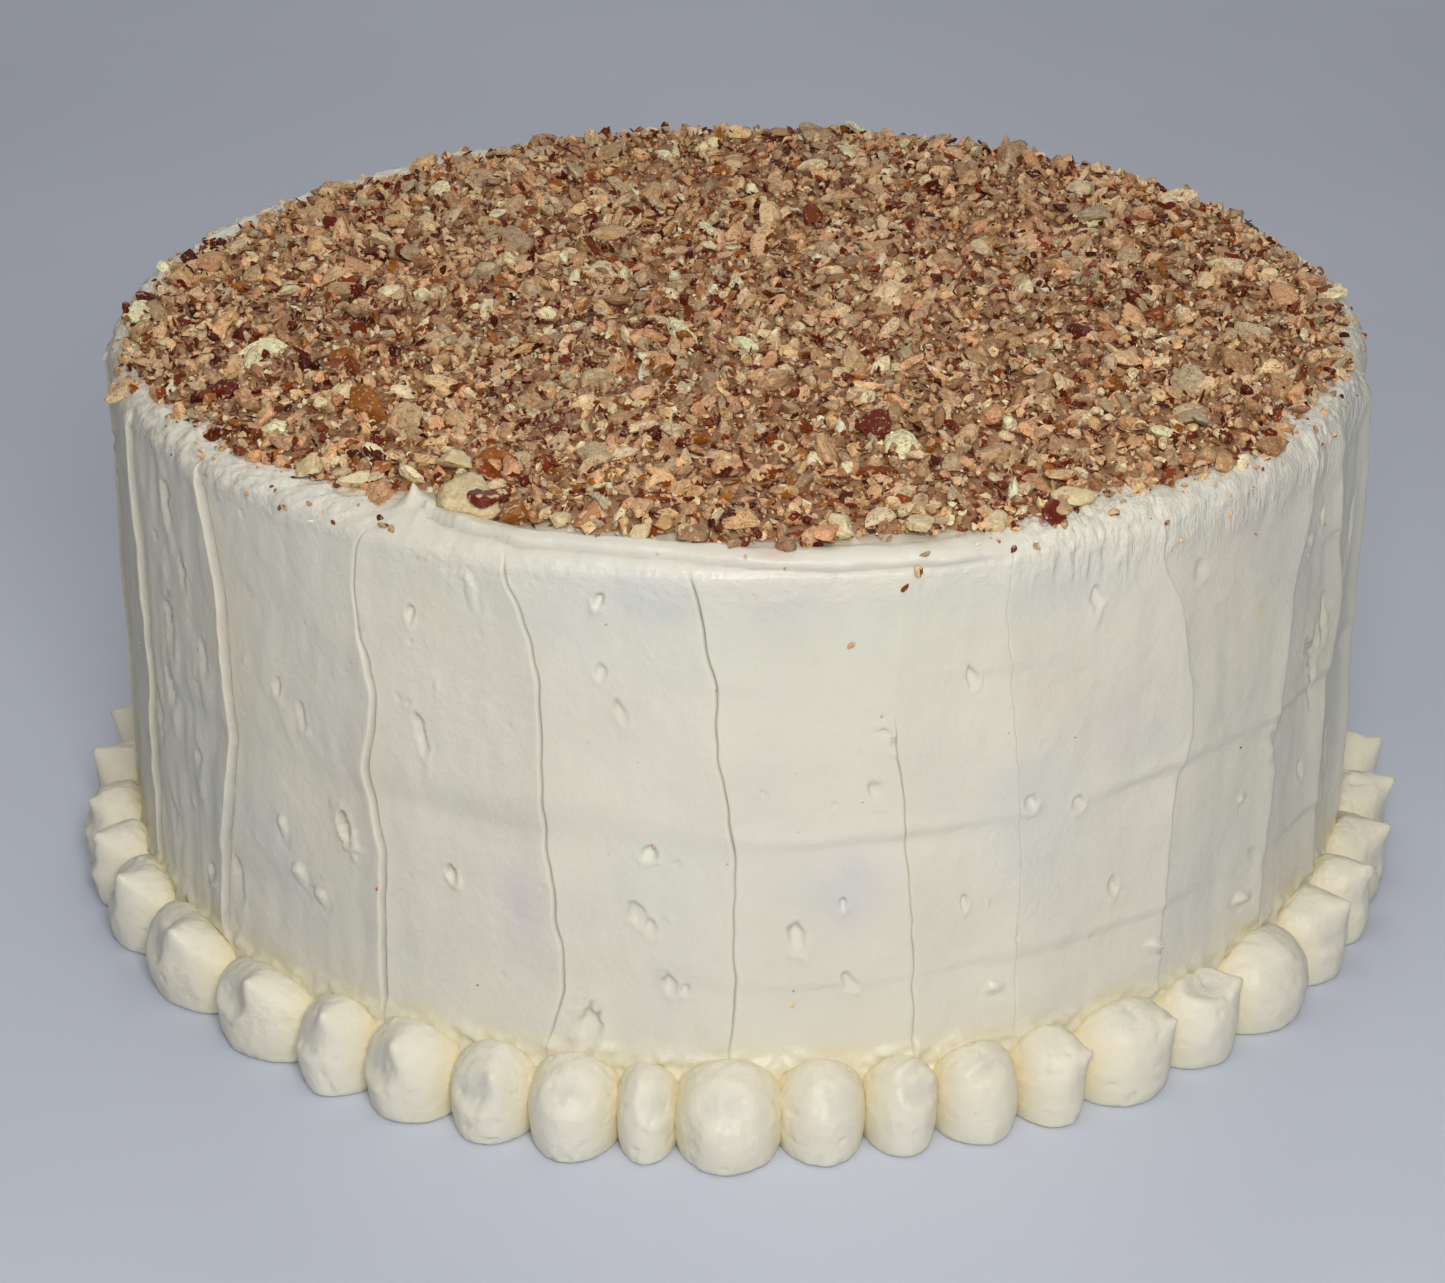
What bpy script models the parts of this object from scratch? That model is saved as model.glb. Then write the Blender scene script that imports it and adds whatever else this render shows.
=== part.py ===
"""A tall round layer cake: a body smoothed with icing, a bed of chopped pecans on its top and a ring of
piped icing beads round its foot.

Azimuths are in degrees, 0 at the front (-Y) and growing towards the right side (+X). The origin is the
centre of the cake's underside.
"""

import math
import random

import bmesh
import bpy
from mathutils import Euler, Vector, noise
from mathutils.geometry import delaunay_2d_cdt

MM = 0.001
SEED = 11

# The gap that neighbouring solids keep
GAP = 0.3 * MM

# The angles in degrees past which a solid's edges look sharp
BODY_CREASE = 40.0
NUT_CREASE = 8.0
BEAD_CREASE = 60.0

ICING_COLOUR = (0.80, 0.77, 0.68)
PIPED_COLOUR = (0.83, 0.78, 0.66)
NUT_COLOUR = (0.47, 0.31, 0.19)

# The iced body
WALL_RADIUS = 121.5 * MM
ICING_HEIGHT = 111.0 * MM
RIM_RADIUS = 5.0 * MM
RIM_TURNS = (0, 40, 70, 90)
LAYER_COUNT = 4
LAYER_PITCH = ICING_HEIGHT / LAYER_COUNT
GROOVE_DEPTH = 0.8 * MM
GROOVE_HALF_WIDTH = 5.0 * MM
GROOVE_PATCH = 45.0 * MM
WALL_WANDER = 0.6 * MM
WANDER_LENGTH = 60.0 * MM
RELIEF_START = 20.0 * MM

# A palette knife left upright strokes side by side. Each is slightly hollow, rises to a lip at its
# right-hand edge and drops to the next one. These are the azimuths of the edges at the front, with how
# far each lip stands out. Round the back more follow at an even spacing.
SHOWN_EDGES = (
    (-67.0, 0.9 * MM),
    (-51.5, 1.5 * MM),
    (-32.8, 1.3 * MM),
    (-17.3, 0.9 * MM),
    (-2.8, 0.8 * MM),
    (12.3, 0.7 * MM),
    (22.0, 0.4 * MM),
    (38.5, 0.9 * MM),
    (53.8, 1.5 * MM),
    (65.0, 1.6 * MM),
    (75.5, 2.0 * MM),
)
BACK_EDGE_COUNT = 14
BACK_EDGE_JITTER = 0.12
BACK_LIP = (0.7 * MM, 1.6 * MM)
STROKE_HOLLOW = 0.6 * MM
STROKE_FOOT = 0.4
STROKE_SHARES = (0.02, 0.3, 0.7, 1.0)
EDGE_SWAY = 1.3
SWAY_LENGTH = 40.0 * MM

# The bed of chopped pecans, with three bays in its edge where the icing shows
NUT_EDGE_RADIUS = 117.0 * MM
NUT_EDGE_WANDER = 3.2 * MM
NUT_EDGE_LENGTH = 13.0 * MM
NUT_EDGE_THINNING = 0.5
NUT_BAYS = ((-57.0, 3.0 * MM, 4.0), (-32.0, 5.0 * MM, 5.0), (30.0, 4.5 * MM, 4.0))
NUT_SPACING = 6.4 * MM
NUT_JITTER = 0.24
NUT_MARGIN = 0.65
NUT_BED_THICKNESS = 1.6 * MM
NUT_BUMP = 3.2 * MM
CHIP_COUNT = 100
CHIP_LENGTH = (7.0 * MM, 11.0 * MM)
CHIP_WIDTH = (0.5, 0.75)
CHIP_THICKNESS = (0.35, 0.5)
CHIP_TILT = 0.3
CHIP_SCATTER = 3.0 * MM
CHIP_LIFT = 1.7 * MM
CHIP_CORNERS = 8
GOLDEN_ANGLE = 137.508

# The piped beads. From the first crease, these are the widths in degrees of those at the front, left to
# right. Round the back the rest share what is left. A few tips have sunk back into a plain dome, and two
# beads stand out further than the others by this much.
FIRST_CREASE = -78.0
SHOWN_WIDTHS = (6, 9, 12, 11, 7, 8, 7, 7, 5, 8, 7, 6, 7, 6, 9, 8, 10, 8, 6, 10)
SUNKEN_TIPS = (8, 9, 10, 11, 17)
PROUD_BEADS = {8: 2.0 * MM, 10: 2.5 * MM}
BACK_BEAD_COUNT = 24
BACK_BEAD_JITTER = 0.15
BEAD_SIZE = (0.94, 1.06)
BEAD_HEIGHT = 16.5 * MM
BEAD_DEPTH = 11.5 * MM
TIP_LENGTH = (3.2 * MM, 5.2 * MM)
SUNKEN_TIP = 0.8 * MM
TIP_RISE = (30.0, 44.0)
TIP_LEAN = 0.25
TIP_TURN = 15.0
TIP_SHARE = 0.3

# A bead's upright sections are rounded about a core, which lies this far from the wall and the floor.
# They shrink from its middle towards its creases, where a share is -1 or 1.
CORE_DEPTH = 3.0 * MM
CORE_HEIGHT = 7.0 * MM
ROUNDNESS = 2.4
FULL_SHARE = 1.12
BELLY_SAG = 1.3
SECTION_SHARES = (-1.0, -0.75, -0.35, 0.0, 0.35, 0.75, 1.0)
SECTION_TURNS = (18, 0, -14, -36, -60)


def around(azimuth, radius=1.0, height=0.0):
    """The point at this azimuth, distance from the cake's axis and height."""
    angle = math.radians(azimuth)
    return Vector((radius * math.sin(angle), -radius * math.cos(angle), height))


def ripple(azimuth, height, scale, seed):
    """Smooth noise from -1 to 1 over the wall, which meets itself round the back."""
    return noise.noise(around(azimuth, WALL_RADIUS, height) / scale + Vector((seed, 3.7 * seed, 0)))


def make_material(name, colour, roughness):
    material = bpy.data.materials.new(name)
    material.use_nodes = True
    shader = material.node_tree.nodes["Principled BSDF"]
    shader.inputs["Base Color"].default_value = (*colour, 1.0)
    shader.inputs["Roughness"].default_value = roughness
    shader.inputs["Metallic"].default_value = 0.0
    return material


def add_solid(name, points, faces, material, crease):
    """One closed solid with its faces turned outwards, shaded smooth but for creases past this angle."""
    mesh = bpy.data.meshes.new(name)
    mesh.from_pydata(points, [], faces)
    solid = bmesh.new()
    solid.from_mesh(mesh)
    bmesh.ops.recalc_face_normals(solid, faces=solid.faces)
    solid.to_mesh(mesh)
    solid.free()
    mesh.materials.append(material)
    mesh.shade_smooth()
    mesh.set_sharp_from_angle(angle=math.radians(crease))
    made = bpy.data.objects.new(name, mesh)
    bpy.context.scene.collection.objects.link(made)
    return made


def band(low, high):
    """The faces between two rings of as many points, as point numbers."""
    count = len(low)
    return [(low[i], low[(i + 1) % count], high[(i + 1) % count], high[i]) for i in range(count)]


def stroke_edges():
    """The azimuth and lip of every knife stroke's edge, once round the cake."""
    draw = random.Random(SEED)
    last = SHOWN_EDGES[-1][0]
    step = (SHOWN_EDGES[0][0] + 360 - last) / (BACK_EDGE_COUNT + 1)
    back = []
    for i in range(1, BACK_EDGE_COUNT + 1):
        place = last + step * (i + draw.uniform(-BACK_EDGE_JITTER, BACK_EDGE_JITTER))
        back.append((place, draw.uniform(*BACK_LIP)))
    return [*SHOWN_EDGES, *back]


def layer_groove(azimuth, height):
    """How far the icing sinks over the fillings between the layers, more in some places than others."""
    away = min(abs(height - k * LAYER_PITCH) for k in range(1, LAYER_COUNT))
    depth = GROOVE_DEPTH * (0.6 + 0.4 * ripple(azimuth, height, GROOVE_PATCH, 2))
    return depth * math.exp(-((away / GROOVE_HALF_WIDTH) ** 2))


def rim_inset(height):
    """How far the rounded rim has drawn in at this height."""
    rise = max(0.0, height - (ICING_HEIGHT - RIM_RADIUS))
    return RIM_RADIUS - math.sqrt(max(0.0, RIM_RADIUS**2 - rise**2))


def stroke_relief(share, left_lip, right_lip):
    """The wall across one stroke: a low foot at its left, a hollow face and a lip at its right."""
    foot = -STROKE_FOOT * left_lip
    return foot + (right_lip - foot) * share**3 - STROKE_HOLLOW * 4 * share * (1 - share)


def body_ring(edges, height):
    """The wall's outline at one height. Behind the beads it is a plain circle."""
    shown = min(1.0, max(0.0, (height - RELIEF_START) / (LAYER_PITCH - RELIEF_START)))
    ring = []
    for (left, left_lip), (right, right_lip) in zip(edges, edges[1:] + [(edges[0][0] + 360, edges[0][1])]):
        start = left + EDGE_SWAY * ripple(left, height, SWAY_LENGTH, 1)
        end = right + EDGE_SWAY * ripple(right, height, SWAY_LENGTH, 1)
        for share in STROKE_SHARES:
            azimuth = start + (end - start) * share
            relief = stroke_relief(share, left_lip, right_lip) - layer_groove(azimuth, height)
            relief += WALL_WANDER * ripple(azimuth, height, WANDER_LENGTH, 3)
            ring.append(around(azimuth, WALL_RADIUS + shown * relief - rim_inset(height), height))
    return ring


def make_body(icing):
    """The iced cake, uncut and so solid inside."""
    lifts = (-LAYER_PITCH / 4, 0.0, LAYER_PITCH / 4)
    grooves = [k * LAYER_PITCH + lift for k in range(1, LAYER_COUNT) for lift in lifts]
    rim = [ICING_HEIGHT - RIM_RADIUS * (1 - math.sin(math.radians(turn))) for turn in RIM_TURNS]
    edges = stroke_edges()
    rings = [body_ring(edges, height) for height in (0.0, *grooves, *rim)]
    count = len(rings[0])
    numbers = [range(i * count, (i + 1) * count) for i in range(len(rings))]
    faces = [tuple(numbers[0]), tuple(numbers[-1])]
    for low, high in zip(numbers, numbers[1:]):
        faces += band(low, high)
    add_solid("iced_cake", [point for ring in rings for point in ring], faces, icing, BODY_CREASE)


def nut_edge(azimuth):
    """How far out the nuts reach at this azimuth: a ragged edge with its bays."""
    radius = NUT_EDGE_RADIUS + NUT_EDGE_WANDER * ripple(azimuth, 0, NUT_EDGE_LENGTH, 4)
    for middle, depth, half_width in NUT_BAYS:
        away = (azimuth - middle + 180) % 360 - 180
        radius -= depth * math.exp(-((away / half_width) ** 2))
    return radius


def nut_places(draw):
    """Uneven rows of points, about a nut apart, over the inside of the bed."""
    row_pitch = NUT_SPACING * math.sqrt(0.75)
    rows = math.ceil(NUT_EDGE_RADIUS / row_pitch)
    wander = NUT_JITTER * NUT_SPACING
    for row in range(-rows, rows + 1):
        for column in range(-rows, rows + 1):
            x = (column + row % 2 / 2) * NUT_SPACING + draw.uniform(-wander, wander)
            y = row * row_pitch + draw.uniform(-wander, wander)
            if math.hypot(x, y) < nut_edge(math.degrees(math.atan2(x, -y))) - NUT_MARGIN * NUT_SPACING:
                yield Vector((x, y))


def make_nut_core(draw, nuts):
    """The bed under the largest pieces: flat below, with bumps as large as the other pieces on top."""
    floor = ICING_HEIGHT + GAP
    count = round(math.tau * NUT_EDGE_RADIUS / NUT_SPACING)
    edge = [around(azimuth, nut_edge(azimuth)).to_2d() for azimuth in (360 * i / count for i in range(count))]
    loop = [(i, (i + 1) % count) for i in range(count)]
    flat, _, triangles, *_ = delaunay_2d_cdt([*edge, *nut_places(draw)], loop, [], 1, 1e-6)
    top = []
    for i, place in enumerate(flat):
        thickness = NUT_BED_THICKNESS + NUT_BUMP * draw.random()
        share = NUT_EDGE_THINNING if i < count else 1.0
        top.append(place.to_3d() + Vector((0, 0, floor + share * thickness)))
    under = [place.to_3d() + Vector((0, 0, floor)) for place in flat[:count]]
    under_numbers = range(len(top), len(top) + count)
    faces = [*triangles, *band(under_numbers, range(count)), tuple(under_numbers)]
    return add_solid("chopped_pecans", [*top, *under], faces, nuts, NUT_CREASE)


def make_chip(draw, place):
    """One of the largest pieces: a hull of a few corners, longer than wide, tilted in the bed."""
    length = draw.uniform(*CHIP_LENGTH)
    half = Vector((length, length * draw.uniform(*CHIP_WIDTH), length * draw.uniform(*CHIP_THICKNESS))) / 2
    pitch, roll = draw.uniform(-CHIP_TILT, CHIP_TILT), draw.uniform(-CHIP_TILT, CHIP_TILT)
    turn = Euler((pitch, roll, draw.uniform(0, math.tau)))
    hull = bmesh.new()
    for i in range(CHIP_CORNERS):
        rise = 1 - (2 * i + 1) / CHIP_CORNERS
        angle = math.radians(GOLDEN_ANGLE) * i + draw.uniform(-CHIP_TILT, CHIP_TILT)
        ring = math.sqrt(1 - rise**2)
        corner = Vector((half.x * ring * math.cos(angle), half.y * ring * math.sin(angle), half.z * rise))
        corner.rotate(turn)
        hull.verts.new(place + corner)
    bmesh.ops.convex_hull(hull, input=hull.verts)
    mesh = bpy.data.meshes.new("chip")
    hull.to_mesh(mesh)
    hull.free()
    return bpy.data.objects.new("chip", mesh)


def make_nuts(nuts):
    """The bed of chopped pecans, with its largest pieces fused on by one union."""
    draw = random.Random(SEED)
    bed = make_nut_core(draw, nuts)
    chips = bpy.data.collections.new("chips")
    bpy.context.scene.collection.children.link(chips)
    middle = ICING_HEIGHT + GAP + NUT_BED_THICKNESS + CHIP_LIFT
    for i in range(CHIP_COUNT):
        reach = (NUT_EDGE_RADIUS - 2 * CHIP_LENGTH[1]) * math.sqrt((i + 0.5) / CHIP_COUNT)
        place = around(GOLDEN_ANGLE * i, reach, middle)
        place.x += draw.uniform(-CHIP_SCATTER, CHIP_SCATTER)
        place.y += draw.uniform(-CHIP_SCATTER, CHIP_SCATTER)
        chips.objects.link(make_chip(draw, place))
    union = bed.modifiers.new("largest_pieces", "BOOLEAN")
    union.operation = "UNION"
    union.operand_type = "COLLECTION"
    union.collection = chips
    union.solver = "EXACT"
    fused = bpy.data.meshes.new_from_object(bed.evaluated_get(bpy.context.evaluated_depsgraph_get()))
    bed.modifiers.clear()
    bed.data = fused
    for piece in list(chips.objects):
        bpy.data.objects.remove(piece)
    bpy.data.collections.remove(chips)


def bead_creases():
    """The azimuths where neighbouring beads meet, once round the cake."""
    draw = random.Random(SEED)
    creases = [FIRST_CREASE]
    for width in SHOWN_WIDTHS:
        creases.append(creases[-1] + width)
    step = (FIRST_CREASE + 360 - creases[-1]) / BACK_BEAD_COUNT
    end = creases[-1]
    for i in range(1, BACK_BEAD_COUNT):
        creases.append(end + step * (i + draw.uniform(-BACK_BEAD_JITTER, BACK_BEAD_JITTER)))
    return [*creases, FIRST_CREASE + 360]


def rounded(share, full=1.0):
    """How much is left of a rounded shape's extent one way, this share of the way out the other way."""
    return full * max(0.0, 1 - abs(share / full) ** ROUNDNESS) ** (1 / ROUNDNESS)


def bead_section(share, front, top, tip):
    """One upright section of a bead, from the wall over its tip to the floor, as depths and heights."""
    tip_share, tip_rise, tip_length = tip
    full = rounded(share / FULL_SHARE)
    section = [(0.0, CORE_HEIGHT + top * rounded(CORE_DEPTH / front, full))]
    for turn in (tip_rise + step for step in SECTION_TURNS):
        level, rise = math.cos(math.radians(turn)), math.sin(math.radians(turn))
        half = top if rise > 0 else BELLY_SAG * top
        reach = full * (abs(level / front) ** ROUNDNESS + abs(rise / half) ** ROUNDNESS) ** (-1 / ROUNDNESS)
        away = ((turn - tip_rise) / TIP_TURN) ** 2 + ((share - tip_share) / TIP_SHARE) ** 2
        reach += tip_length * math.exp(-(away**0.75))
        section.append((CORE_DEPTH + reach * level, CORE_HEIGHT + reach * rise))
    section.append((CORE_DEPTH + front * rounded(CORE_HEIGHT / (BELLY_SAG * top), full), 0.0))
    section.append((0.0, 0.0))
    return section


def make_bead(number, left, right, draw, icing):
    """One piped bead: a plump dollop against the wall whose tip was pulled outwards and up."""
    size = draw.uniform(*BEAD_SIZE)
    tip_length = SUNKEN_TIP if number in SUNKEN_TIPS else draw.uniform(*TIP_LENGTH)
    tip = (draw.uniform(-TIP_LEAN, TIP_LEAN), draw.uniform(*TIP_RISE), tip_length)
    inner = WALL_RADIUS + GAP
    front = BEAD_DEPTH * size + PROUD_BEADS.get(number, 0.0) - CORE_DEPTH
    middle, half = (left + right) / 2, (right - left) / 2 - math.degrees(GAP / 2 / inner)
    points = []
    for step in SECTION_SHARES:
        share = step + tip[0] * (1 - abs(step))
        section = bead_section(share, front, BEAD_HEIGHT * size - CORE_HEIGHT, tip)
        points += [around(middle + share * half, inner + depth, height) for depth, height in section]
    count = len(points) // len(SECTION_SHARES)
    sections = [range(i * count, (i + 1) * count) for i in range(len(SECTION_SHARES))]
    faces = [tuple(sections[0]), tuple(sections[-1])]
    for low, high in zip(sections, sections[1:]):
        faces += band(low, high)
    add_solid(f"bead_{number:02d}", points, faces, icing, BEAD_CREASE)


def make_beads(icing):
    """The ring of beads, side by side with a crease between each two."""
    draw = random.Random(SEED)
    creases = bead_creases()
    for number, (left, right) in enumerate(zip(creases, creases[1:]), start=1):
        make_bead(number, left, right, draw, icing)


def main():
    for old in list(bpy.data.objects):
        bpy.data.objects.remove(old)
    make_body(make_material("icing", ICING_COLOUR, 0.42))
    make_nuts(make_material("chopped_pecan", NUT_COLOUR, 0.6))
    make_beads(make_material("piped_icing", PIPED_COLOUR, 0.4))


main()
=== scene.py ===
"""The looks of a tall round layer cake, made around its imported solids: smoothed cream icing, chopped pecans
on the top and a ring of piped icing beads round the foot.

Lengths here are in millimetres and go to metres as each mesh is made. Azimuths are in degrees, 0 at the
front (-Y) and growing towards the right side (+X).
"""

import itertools
import math
import random

import bmesh
import bpy
import numpy as np
from mathutils import Matrix, Vector


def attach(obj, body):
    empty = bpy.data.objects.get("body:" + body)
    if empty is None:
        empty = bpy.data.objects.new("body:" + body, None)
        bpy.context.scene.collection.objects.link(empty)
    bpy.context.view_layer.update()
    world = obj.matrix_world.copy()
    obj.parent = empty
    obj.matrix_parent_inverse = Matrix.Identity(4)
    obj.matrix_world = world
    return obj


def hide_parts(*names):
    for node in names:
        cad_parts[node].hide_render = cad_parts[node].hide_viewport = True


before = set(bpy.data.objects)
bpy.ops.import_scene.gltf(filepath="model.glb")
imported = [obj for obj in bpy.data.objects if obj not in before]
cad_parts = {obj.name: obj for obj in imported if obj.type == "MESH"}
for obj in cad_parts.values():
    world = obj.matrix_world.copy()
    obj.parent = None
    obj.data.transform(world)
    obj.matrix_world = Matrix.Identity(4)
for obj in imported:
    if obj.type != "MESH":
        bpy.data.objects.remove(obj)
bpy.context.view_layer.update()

MM = 0.001

# The camera: the photograph's width and focal length in pixels, and its place in millimetres and degrees
IMAGE_WIDTH = 1445
FOCAL_PIXELS = 3498.3
SENSOR_WIDTH = 36.0
CAMERA_ELEVATION = 24.98
CAMERA_TURN = 1.063
CAMERA_TARGET = (-3.05, 0.0, 39.93)
CAMERA_DISTANCE = 712.1

# The lights: each one's azimuth, elevation and distance from the point that they aim at, its size and power
LIGHT_AIM = (0.0, 0.0, 60.0)
LIGHTS = (
    ("key_light", 3.0, 31.0, 860.0, 260.0, 4.0),
    ("overhead_light", 0.0, 74.0, 950.0, 600.0, 1.32),
    ("back_light", 180.0, 40.0, 1500.0, 900.0, 4.7),
)
LIGHT_COLOUR = (1.0, 0.99, 0.97)
SKY_COLOUR = (0.93, 0.95, 0.98)
SKY_STRENGTH = 0.09
FLOOR_HALF = 3000.0
FLOOR_HEIGHT = -0.3
FLOOR_COLOURS = ((0.61, 0.65, 0.76), (0.67, 0.71, 0.82))

# The iced body, and the rows of its mesh: up the wall, round the rim and in over the top. The knife's strokes
# begin and end over the last two pairs of distances along it.
WALL_RADIUS = 121.5
MM_PER_DEGREE = math.radians(1) * WALL_RADIUS
ICING_HEIGHT = 111.0
RIM_RADIUS = 5.0
WALL_TOP = ICING_HEIGHT - RIM_RADIUS
LOW_ROWS = (0.0, 7.0)
WALL_ROWS = (10.0, 105.0, 186)
RIM_ROWS = 19
TOP_ROWS = (0.5, 1.0, 1.5, 2.0, 2.5, 3.0, 3.5, 4.0, 4.6, 5.3, 6.2, 7.5, 9.5, 14.0)
LIP_START = (12.0, 20.0)
LIP_END = (105.0, 110.0)

# A palette knife left upright strokes side by side. Each is slightly hollow, rises to a lip at its
# right-hand edge and drops into a thin crevice beside the next one. For each edge at the front: how far
# its lip stands out, how wide that is, how deep the crevice is, and the edge's azimuth at some heights.
SHOWN_EDGES = (
    (0.9, 4.0, 0.3, ((20, -68.0), (60, -66.5), (111, -67.5))),
    (1.3, 4.5, 0.3, ((27, -52.6), (44, -50.9), (62, -49.8), (87, -50.4), (102, -51.8), (110, -53.4))),
    (1.0, 3.2, 0.8, ((25, -32.6), (41, -32.2), (49, -32.1), (56, -33.2), (66, -33.6), (71, -32.5),
                     (82, -32.2), (85, -33.2), (97, -34.0), (105, -33.8), (111, -32.0))),
    (0.35, 3.5, 0.9, ((15, -17.3), (30, -15.6), (46, -16.5), (56, -17.1), (77, -17.2), (91, -17.4),
                      (100, -18.9), (106, -20.2))),
    (0.25, 3.5, 1.0, ((16, -2.0), (29, -1.4), (58, -1.6), (67, -2.1), (75, -3.0), (85, -2.8), (93, -3.5),
                      (103, -4.3), (111, -5.4))),
    (0.3, 3.0, 0.8, ((20, 13.5), (34, 13.3), (45, 13.0), (68, 12.1), (77, 11.3), (100, 11.6))),
    (0.3, 3.0, 0.15, ((20, 22.6), (49, 22.8), (70, 22.0), (98, 20.4), (110, 21.0))),
    (0.7, 3.6, 0.15, ((12, 37.5), (54, 38.4), (65, 40.1), (73, 39.8), (91, 37.9), (101, 35.3))),
    (1.1, 3.8, 0.2, ((23, 51.8), (50, 53.0), (87, 54.3), (97, 56.1))),
    (1.3, 3.6, 0.3, ((24, 63.9), (46, 63.0), (70, 65.8), (86, 63.9), (108, 62.6))),
    (1.6, 3.4, 0.4, ((20, 73.5), (70, 75.5), (110, 74.0))),
)

# The heights over which some lips and crevices end, by the edge's number. The others go on over the rim.
LIP_TOPS = {2: (82.0, 92.0), 5: (74.0, 82.0)}
CREVICE_TOPS = {5: (74.0, 82.0)}
ABOVE_ALL = (200.0, 201.0)

# The edges at the front are smoothed over heights this far below and above. The rest, round the back, are
# drawn at random.
EDGE_SMOOTHING = (-3.2, -1.6, 0.0, 1.6, 3.2)
EDGE_SEED = 11
BACK_EDGE_COUNT = 14
BACK_EDGE_JITTER = 0.24
BACK_LIP = (0.4, 1.3)
BACK_LIP_WIDTH = 3.6
BACK_CREVICE = 0.32

# The mesh's columns: at these distances from the edges of a stroke and this many between, with the
# stroke's own form
LEFT_OFFSETS = (0.0, 0.15, 0.32, 0.62, 1.1, 1.8, 2.8)
RIGHT_OFFSETS = (5.0, 3.5, 2.3, 1.4, 0.8, 0.38, 0.16)
FRONT_STROKES, SHOWN_STROKES = range(1, 7), range(10)
FRONT_COLUMNS, FLANK_COLUMNS, BACK_COLUMNS = 56, 30, 15
STROKE_FOOT = 0.4
STROKE_FOOT_WIDTH = 6.0
STROKE_HOLLOW = 0.6
CREVICE_WIDTH = 0.13
# Painted shade: how much each channel darkens in the crevices, at the dents' upper edges and under the roll's
# edge
CREVICE_SHADE = (0.46, 0.47, 0.50)

# The grooves over the fillings between the layers: height and depth. Each has a steep upper side.
GROOVES = ((29.5, 0.45), (57.0, 0.65), (86.0, 0.22))
GROOVE_ABOVE = 3.6
GROOVE_BELOW = 6.0

# Marks in the wall at the front: azimuth, height, half width, half height, depth (a bump's is negative)
# and lean to the right in degrees
SHOWN_MARKS = (
    (-36.3, 49.4, 1.3, 3.4, 2.2, -24), (-25.7, 46.3, 0.9, 1.7, 1.5, -20), (-13.6, 20.6, 2.1, 3.4, 0.9, 0),
    (29.0, 96.6, 1.1, 2.6, 0.7, -6), (40.1, 95.6, 1.0, 2.0, 0.6, 0), (-12.4, 102.4, 0.8, 1.4, 1.1, 20),
    (-22.9, 101.0, 0.9, 4.0, -0.35, -8), (-9.4, 43.8, 1.5, 2.4, 0.7, -38), (-8.4, 41.2, 1.0, 1.9, 0.5, -20),
    (-6.8, 30.2, 1.2, 2.1, 0.8, -20), (-5.6, 29.2, 0.8, 1.1, 0.5, 0), (3.6, 39.6, 1.3, 3.0, 0.8, -15),
    (9.8, 66.8, 0.8, 2.4, 0.6, -20), (8.0, 30.0, 1.2, 2.0, 0.6, -30), (7.3, 45.8, 0.7, 1.4, 0.8, 0),
    (-8.5, 55.5, 1.2, 1.4, 0.9, 0), (17.7, 86.4, 0.9, 2.2, 0.6, -20), (17.7, 43.1, 0.8, 1.6, 0.6, 0),
    (32.2, 38.6, 0.9, 1.9, 0.6, 0), (23.4, 60.3, 1.2, 1.4, 0.8, 0), (28.1, 58.0, 1.2, 1.6, 0.6, 0),
    (-28.0, 71.7, 0.9, 4.0, 0.7, -12), (-28.6, 95.0, 0.7, 1.6, 0.8, 0), (-12.2, 89.3, 1.0, 1.5, 0.5, 0),
    (-10.6, 82.1, 0.8, 2.2, 0.5, -20), (10.6, 78.0, 0.6, 1.5, 0.6, -40), (11.2, 75.6, 0.6, 1.1, 0.5, 0),
    (-40.6, 68.3, 0.9, 2.4, 0.5, -10), (-43.5, 72.2, 0.8, 2.0, 0.5, 0), (-59.6, 95.6, 1.0, 5.5, 0.8, -6),
    (-60.7, 68.9, 1.1, 7.0, 0.9, -8), (-65.0, 48.3, 1.0, 6.0, 0.8, -8), (-57.2, 84.0, 0.8, 4.5, 0.7, -5),
    (-62.0, 57.0, 0.9, 5.0, 0.7, -10), (-56.5, 47.0, 0.9, 4.0, 0.7, -8), (-42.0, 36.0, 1.4, 2.6, -0.6, -20),
    (-39.5, 33.0, 1.2, 2.0, -0.6, -20), (-44.0, 44.0, 1.1, 2.4, -0.5, -15), (-55.0, 25.5, 1.5, 1.5, 1.6, 0),
    (20.5, 25.0, 1.6, 1.3, -0.9, 10), (37.0, 24.0, 1.8, 1.4, -1.0, 15), (49.0, 23.5, 1.9, 1.4, -1.0, 20),
)
MARK_REACH = 2.4
MARK_STRENGTH = 1.6
# How dark the painted shade is at a dent's upper edge
MARK_SHADE = 0.5

# Where a mark's raised edge and the crescent of painted shade at a dent's upper edge lie, and how wide they
# are, as shares of its half size
MARK_EDGE = (1.3, 0.35)
MARK_CRESCENT = (0.92, 0.26)

# The other marks, drawn at random: how many, and the least and most of each measure. Some small ones are
# bumps, and they are smaller still at the front.
MARK_SEED = 5
FRONT_FROM, FRONT_TO = -50.0, 46.0
SMALL_MARKS = 190
SMALL_FROM, SMALL_WIDTH, SMALL_SHAPE = (22, 104), (0.5, 1.15), (1.1, 3.2)
SMALL_DEPTH, SMALL_LEAN = (0.25, 0.8), (-32, 12)
SMALLER_AT_FRONT = (0.6, 0.5, 0.35)
DENT_SHARE, BUMP_HEIGHT = 0.8, 0.7
LONG_MARKS = 80
LONG_AROUND, LONG_FROM = (50, 310), (26, 100)
LONG_SIZES = ((0.8, 1.4), (3.5, 7.5), (0.25, 0.7), (-12, 4))

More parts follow.
